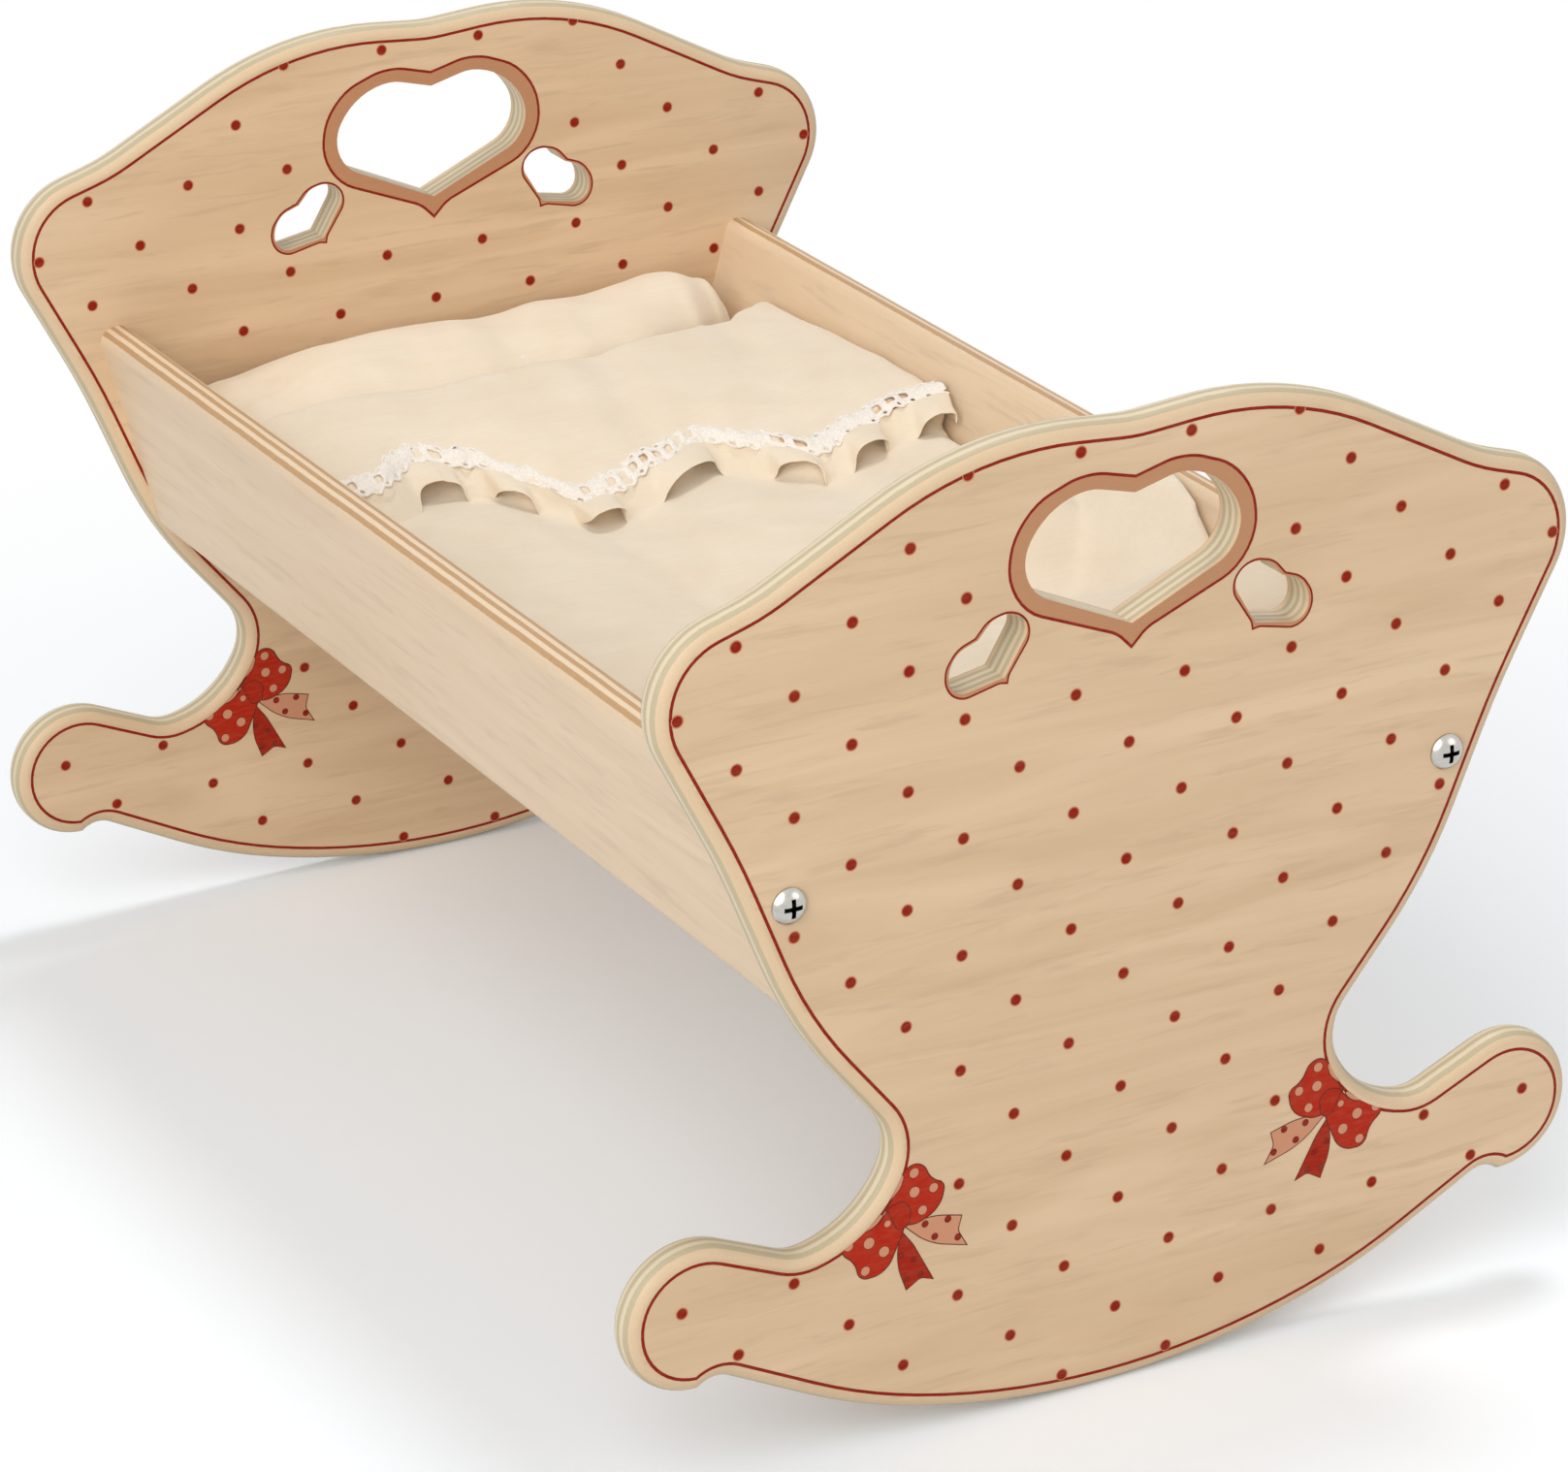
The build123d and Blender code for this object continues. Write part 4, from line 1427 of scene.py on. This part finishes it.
def pillow_section_point(height, front, back, grow, share):
    """A point on the pillow's outline, from its lower front corner round to it again."""
    low = BED_LEVEL + PILLOW_WALL - grow
    top = low + height + 2 * grow
    bulge = BULGE_SHARE * height
    shoulder = low + SHOULDER_SHARE * (top - low)
    waist = low + (shoulder - low) / 2
    near, far = front - grow, back + grow
    runs = (
        ((near + bulge, low), None, (far - bulge, low), 0.30),
        ((far - bulge, low), (far, waist), (far - bulge, shoulder), 0.16),
        ((far - bulge, shoulder), ((near + far) / 2, top), (near + bulge, shoulder), 0.38),
        ((near + bulge, shoulder), (near, waist), (near + bulge, low), 0.16),
    )
    for start, middle, end, part in runs:
        if share <= part + 1e-9:
            along = share / part
            if middle:
                return arc_point(start, middle, end, along)
            return (start[0] + (end[0] - start[0]) * along, start[1])
        share -= part
    return runs[0][0]


def pillow_point(grow, left_reach, right_reach, along, round_share):
    """A point of the pillow's form, grown all round and stretched at its ends."""
    front, back = PILLOW_FRONT + PILLOW_WALL, PILLOW_BACK - PILLOW_WALL
    length = PILLOW_LENGTH - 2 * PILLOW_WALL + left_reach + right_reach
    start = -PILLOW_LENGTH / 2 + PILLOW_WALL - left_reach
    _, tall, front_set, back_set = row_at(PILLOW_ROWS, along)
    y, z = pillow_section_point(
        tall * (PILLOW_HEIGHT - 2 * PILLOW_WALL),
        front + front_set * CORNER_SETBACK,
        back - back_set * CORNER_SETBACK,
        grow,
        round_share,
    )
    return Vector((start + along * length, y, z))


def pillow_fence(point):
    """Keeps the pillow above the mattress and before the head panel."""
    y = min(point.y, HALF_LENGTH - 2.5 * MM)
    return Vector((point.x, y, max(point.z, BED_LEVEL + 1.4 * MM)))


def make_pillow():
    """The filled pillow inside its case."""

    def shape(u, v):
        return pillow_point(-1.0 * MM, -9 * MM, -1 * MM, v, u)

    bm = formed_solid(72, 60, shape)
    ticking = cotton("pillow_cotton", bpy.context.scene.cradle_bedding.ticking)
    piece = new_piece("pillow_filling", bm, "pillow", ticking)
    even_mesh(piece, FILLING_VOXEL)
    swell(piece, 0.8 * MM, pillow_fence)
    subdivide(piece)
    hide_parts("pillow")
    return piece


def make_pillowcase():
    """The pillow's case, closed at its right end and open at its left one."""

    def shape(u, v):
        point = pillow_point(1.2 * MM, 1.8 * MM, 1.8 * MM, v, u)
        top = max(0.0, min(1.0, (point.z - BED_LEVEL - 6 * MM) / (12 * MM)))
        loose = max(0.0, 1 - v / 0.14)
        slow = noise.noise(Vector((point.x * 30, point.y * 30, 1.7))) * 3.0 * MM
        depth = (point.y - PILLOW_FRONT) / (PILLOW_BACK - PILLOW_FRONT)
        slow += 5.5 * MM * max(0.0, min(1.0, 1.6 * depth)) * (0.25 + 0.75 * v)
        slow -= 2.5 * MM * bump((v - 0.56) / 0.1)
        slant = Vector((point.x * 30 - point.y * 24, point.y * 40 + point.x * 10, 9.1))
        ridge = (0.45 - abs(noise.noise(slant))) * 1.6 * MM
        hem = noise.noise(Vector((point.y * 120, point.z * 120, 5.0))) * 2.2 * MM * loose
        lift = (slow + ridge) * top
        return Vector((point.x - hem, point.y, point.z + lift + hem * 0.5 * top))

    bm = formed_grid(96, 110, shape)
    bmesh.ops.remove_doubles(bm, verts=bm.verts, dist=SEAM)
    right = max(v.co.x for v in bm.verts)
    closed = [e for e in bm.edges if e.is_boundary and e.verts[0].co.x > right - 3 * MM]
    bmesh.ops.holes_fill(bm, edges=closed, sides=0)
    bmesh.ops.poke(bm, faces=[f for f in bm.faces if len(f.verts) > 4])
    bmesh.ops.recalc_face_normals(bm, faces=bm.faces)
    case = cotton("case_cotton", bpy.context.scene.cradle_bedding.cotton)
    piece = new_piece("pillow_case", bm, "pillow", case)
    thicken(piece, 0.8 * MM, -1.0)
    subdivide(piece)
    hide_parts("pillowcase")
    return piece


def mattress_fence(point):
    """Keeps the mattress on its board and between the others."""
    low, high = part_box("mattress")
    z = max(low.z, min(high.z, point.z))
    room = inner_half(z) - 1.2 * MM
    x = max(-room, min(room, point.x))
    return Vector((x, max(low.y - MM, min(high.y + MM, point.y)), z))


def make_mattress():
    """The thin mattress under the coverlet."""
    ticking = cotton("mattress_cotton", bpy.context.scene.cradle_bedding.ticking)
    piece = new_piece("mattress_pad", node_copy("mattress"), "mattress", ticking)
    even_mesh(piece, FILLING_VOXEL)
    swell(piece, 1.0 * MM, mattress_fence)
    subdivide(piece)
    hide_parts("mattress")
    return piece


# ---------------------------------------------------------------- studio

# The camera, in metres and degrees, and its lens and sensor in millimetres
CAMERA_PLACE = (-0.9159, -1.6674, 0.9501)
CAMERA_AZIMUTH = -29.232
CAMERA_RISE = 23.158
CAMERA_ROLL = -0.017
CAMERA_LENS = 134.57
SENSOR_WIDTH = 36.0

LAMP_AIM = Vector((0, 0, 0.17))
FLOOR_HALF_WIDTH = 8


def make_camera():
    """The camera at the photograph's angle."""
    azimuth, rise = radians(CAMERA_AZIMUTH), radians(CAMERA_RISE)
    back = Vector((sin(azimuth) * cos(rise), -cos(azimuth) * cos(rise), sin(rise)))
    right = (-back).cross(Vector((0, 0, 1))).normalized()
    up = back.cross(right)
    turn = Matrix((right, up, back)).transposed() @ Matrix.Rotation(radians(CAMERA_ROLL), 3, "Z")
    data = bpy.data.cameras.new("camera")
    data.lens = CAMERA_LENS
    data.sensor_width = SENSOR_WIDTH
    data.sensor_fit = "HORIZONTAL"
    data.clip_start = 0.05
    data.clip_end = 30
    camera = new_object("camera", data)
    camera.matrix_world = Matrix.Translation(CAMERA_PLACE) @ turn.to_4x4()
    bpy.context.scene.camera = camera


def seen_directly(recipe):
    """1 for rays that show the background, straight or in gloss and glass."""
    rays = [
        recipe.node("LightPath", None, None, name)
        for name in ("Is Camera Ray", "Is Glossy Ray", "Is Transmission Ray")
    ]
    return recipe.sum("MAXIMUM", recipe.sum("MAXIMUM", *rays[:2]), rays[2])


def floor_material():
    """A pale floor that is white where no shadow falls and, seen directly, fades to plain white
    away from the cradle."""
    recipe = new_recipe("studio_floor")
    body = recipe.node("BsdfDiffuse", None, {"Color": (0.80, 0.80, 0.80, 1)})
    shown = recipe.node("BsdfDiffuse", None, {"Color": (0.93, 0.965, 1.0, 1)})
    glow = recipe.node("Emission", None, {"Color": (1, 1, 1, 1), "Strength": 0.06})
    near = recipe.node("AddShader", None, {0: shown, 1: glow})
    white = recipe.node("Emission", None, {"Color": (1, 1, 1, 1), "Strength": 1.0})
    distance = recipe.node("VectorMath", {"operation": "LENGTH"}, {0: recipe.place()}, "Value")
    far = recipe.ramp(distance, (0.28, 0.0), (0.45, 0.35), (0.62, 0.85), (0.75, 1.0))
    both = recipe.node("MixShader", None, {0: far, 1: near, 2: white})
    surface = recipe.node("MixShader", None, {0: seen_directly(recipe), 1: body, 2: both})
    recipe.node("OutputMaterial", None, {"Surface": surface})
    return recipe.owner


def make_lamps():
    """The three round lamps, all turned to the middle of the cradle."""
    studio = bpy.context.scene.cradle_studio
    lamps = (
        ("key_lamp", (-1.8, -1.4, 1.7), 2.8, studio.key),
        ("fill_lamp", (1.6, -1.9, 1.3), 1.6, studio.fill),
        ("back_lamp", (0.7, 0.5, 2.6), 0.7, studio.back),
    )
    for name, place, size, power in lamps:
        data = bpy.data.lights.new(name, "AREA")
        data.shape = "DISK"
        data.size = size
        data.energy = power
        lamp = new_object(name, data)
        lamp.location = place
        lamp.rotation_euler = (Vector(place) - LAMP_AIM).to_track_quat("Z", "Y").to_euler()


def make_world():
    """White surroundings that give less light than they show."""
    recipe = Recipe(bpy.data.worlds.new("studio_world"))
    ambient = bpy.context.scene.cradle_studio.ambient
    soft = recipe.node("Background", None, {"Color": (1, 1, 1, 1), "Strength": ambient})
    white = recipe.node("Background", None, {"Color": (1, 1, 1, 1), "Strength": 1.0})
    surface = recipe.node("MixShader", None, {0: seen_directly(recipe), 1: soft, 2: white})
    recipe.node("OutputWorld", None, {"Surface": surface})
    bpy.context.scene.world = recipe.owner


def make_studio():
    """The floor, the lamps, the white surroundings and the camera."""
    bm = bmesh.new()
    bmesh.ops.create_grid(bm, x_segments=1, y_segments=1, size=FLOOR_HALF_WIDTH)
    new_shape("floor", bm, floor_material())
    make_lamps()
    make_world()
    make_camera()
    bpy.context.scene.view_settings.view_transform = "Standard"


# ---------------------------------------------------------------- operators and panel


class CRADLE_OT_wood(bpy.types.Operator):
    """Finish the plywood boards"""

    bl_idname = "cradle.wood"
    bl_label = "Plywood Boards"

    def execute(self, context):
        finish_wood()
        return {"FINISHED"}


class CRADLE_OT_fastenings(bpy.types.Operator):
    """Finish the screws and dowels"""

    bl_idname = "cradle.fastenings"
    bl_label = "Screws and Dowels"

    def execute(self, context):
        finish_fastenings()
        return {"FINISHED"}


class CRADLE_OT_prints(bpy.types.Operator):
    """Print dots, lines, hearts and bows on both end panels"""

    bl_idname = "cradle.prints"
    bl_label = "Panel Prints"

    def execute(self, context):
        print_panels()
        return {"FINISHED"}


class CRADLE_OT_mattress(bpy.types.Operator):
    """Make the mattress"""

    bl_idname = "cradle.mattress"
    bl_label = "Mattress"

    def execute(self, context):
        make_mattress()
        return {"FINISHED"}


class CRADLE_OT_pillow(bpy.types.Operator):
    """Make the pillow"""

    bl_idname = "cradle.pillow"
    bl_label = "Pillow"

    def execute(self, context):
        make_pillow()
        return {"FINISHED"}


class CRADLE_OT_pillowcase(bpy.types.Operator):
    """Make the pillow's case"""

    bl_idname = "cradle.pillowcase"
    bl_label = "Pillowcase"

    def execute(self, context):
        make_pillowcase()
        return {"FINISHED"}


class CRADLE_OT_coverlet(bpy.types.Operator):
    """Make the turned-down coverlet"""

    bl_idname = "cradle.coverlet"
    bl_label = "Coverlet"

    def execute(self, context):
        make_coverlet()
        return {"FINISHED"}


class CRADLE_OT_ruffle(bpy.types.Operator):
    """Gather the ruffle along the turned-down edge"""

    bl_idname = "cradle.ruffle"
    bl_label = "Ruffle"

    def execute(self, context):
        make_ruffle()
        return {"FINISHED"}


class CRADLE_OT_lace(bpy.types.Operator):
    """Lay the crocheted lace and its ribbon"""

    bl_idname = "cradle.lace"
    bl_label = "Lace"

    def execute(self, context):
        make_lace()
        return {"FINISHED"}


class CRADLE_OT_studio(bpy.types.Operator):
    """Set up the floor, the lamps and the camera"""

    bl_idname = "cradle.studio"
    bl_label = "Studio"

    def execute(self, context):
        make_studio()
        return {"FINISHED"}


OPERATORS = (
    CRADLE_OT_studio,
    CRADLE_OT_wood,
    CRADLE_OT_fastenings,
    CRADLE_OT_prints,
    CRADLE_OT_mattress,
    CRADLE_OT_pillow,
    CRADLE_OT_pillowcase,
    CRADLE_OT_coverlet,
    CRADLE_OT_ruffle,
    CRADLE_OT_lace,
)

GROUPS = {
    "cradle_wood": CradleWood,
    "cradle_print": CradlePrint,
    "cradle_bedding": CradleBedding,
    "cradle_studio": CradleStudio,
}


class CRADLE_PT_panel(bpy.types.Panel):
    """Sizes and colours of the cradle, and the buttons that make its pieces"""

    bl_label = "Doll Cradle"
    bl_idname = "CRADLE_PT_panel"
    bl_space_type = "VIEW_3D"
    bl_region_type = "UI"
    bl_category = "Cradle"

    def draw(self, context):
        for name in GROUPS:
            group = getattr(context.scene, name)
            box = self.layout.box()
            for key in group.__annotations__:
                box.prop(group, key)
        for operator in OPERATORS:
            self.layout.operator(operator.bl_idname)


def register():
    for group in GROUPS.values():
        bpy.utils.register_class(group)
    for name, group in GROUPS.items():
        setattr(bpy.types.Scene, name, PointerProperty(type=group))
    for operator in OPERATORS:
        bpy.utils.register_class(operator)
    bpy.utils.register_class(CRADLE_PT_panel)


def unregister():
    bpy.utils.unregister_class(CRADLE_PT_panel)
    for operator in reversed(OPERATORS):
        bpy.utils.unregister_class(operator)
    for name in GROUPS:
        delattr(bpy.types.Scene, name)
    for group in reversed(list(GROUPS.values())):
        bpy.utils.unregister_class(group)


def main():
    """Makes everything."""
    register()
    for operator in OPERATORS:
        group, name = operator.bl_idname.split(".")
        getattr(getattr(bpy.ops, group), name)()


if __name__ == "__main__":
    main()
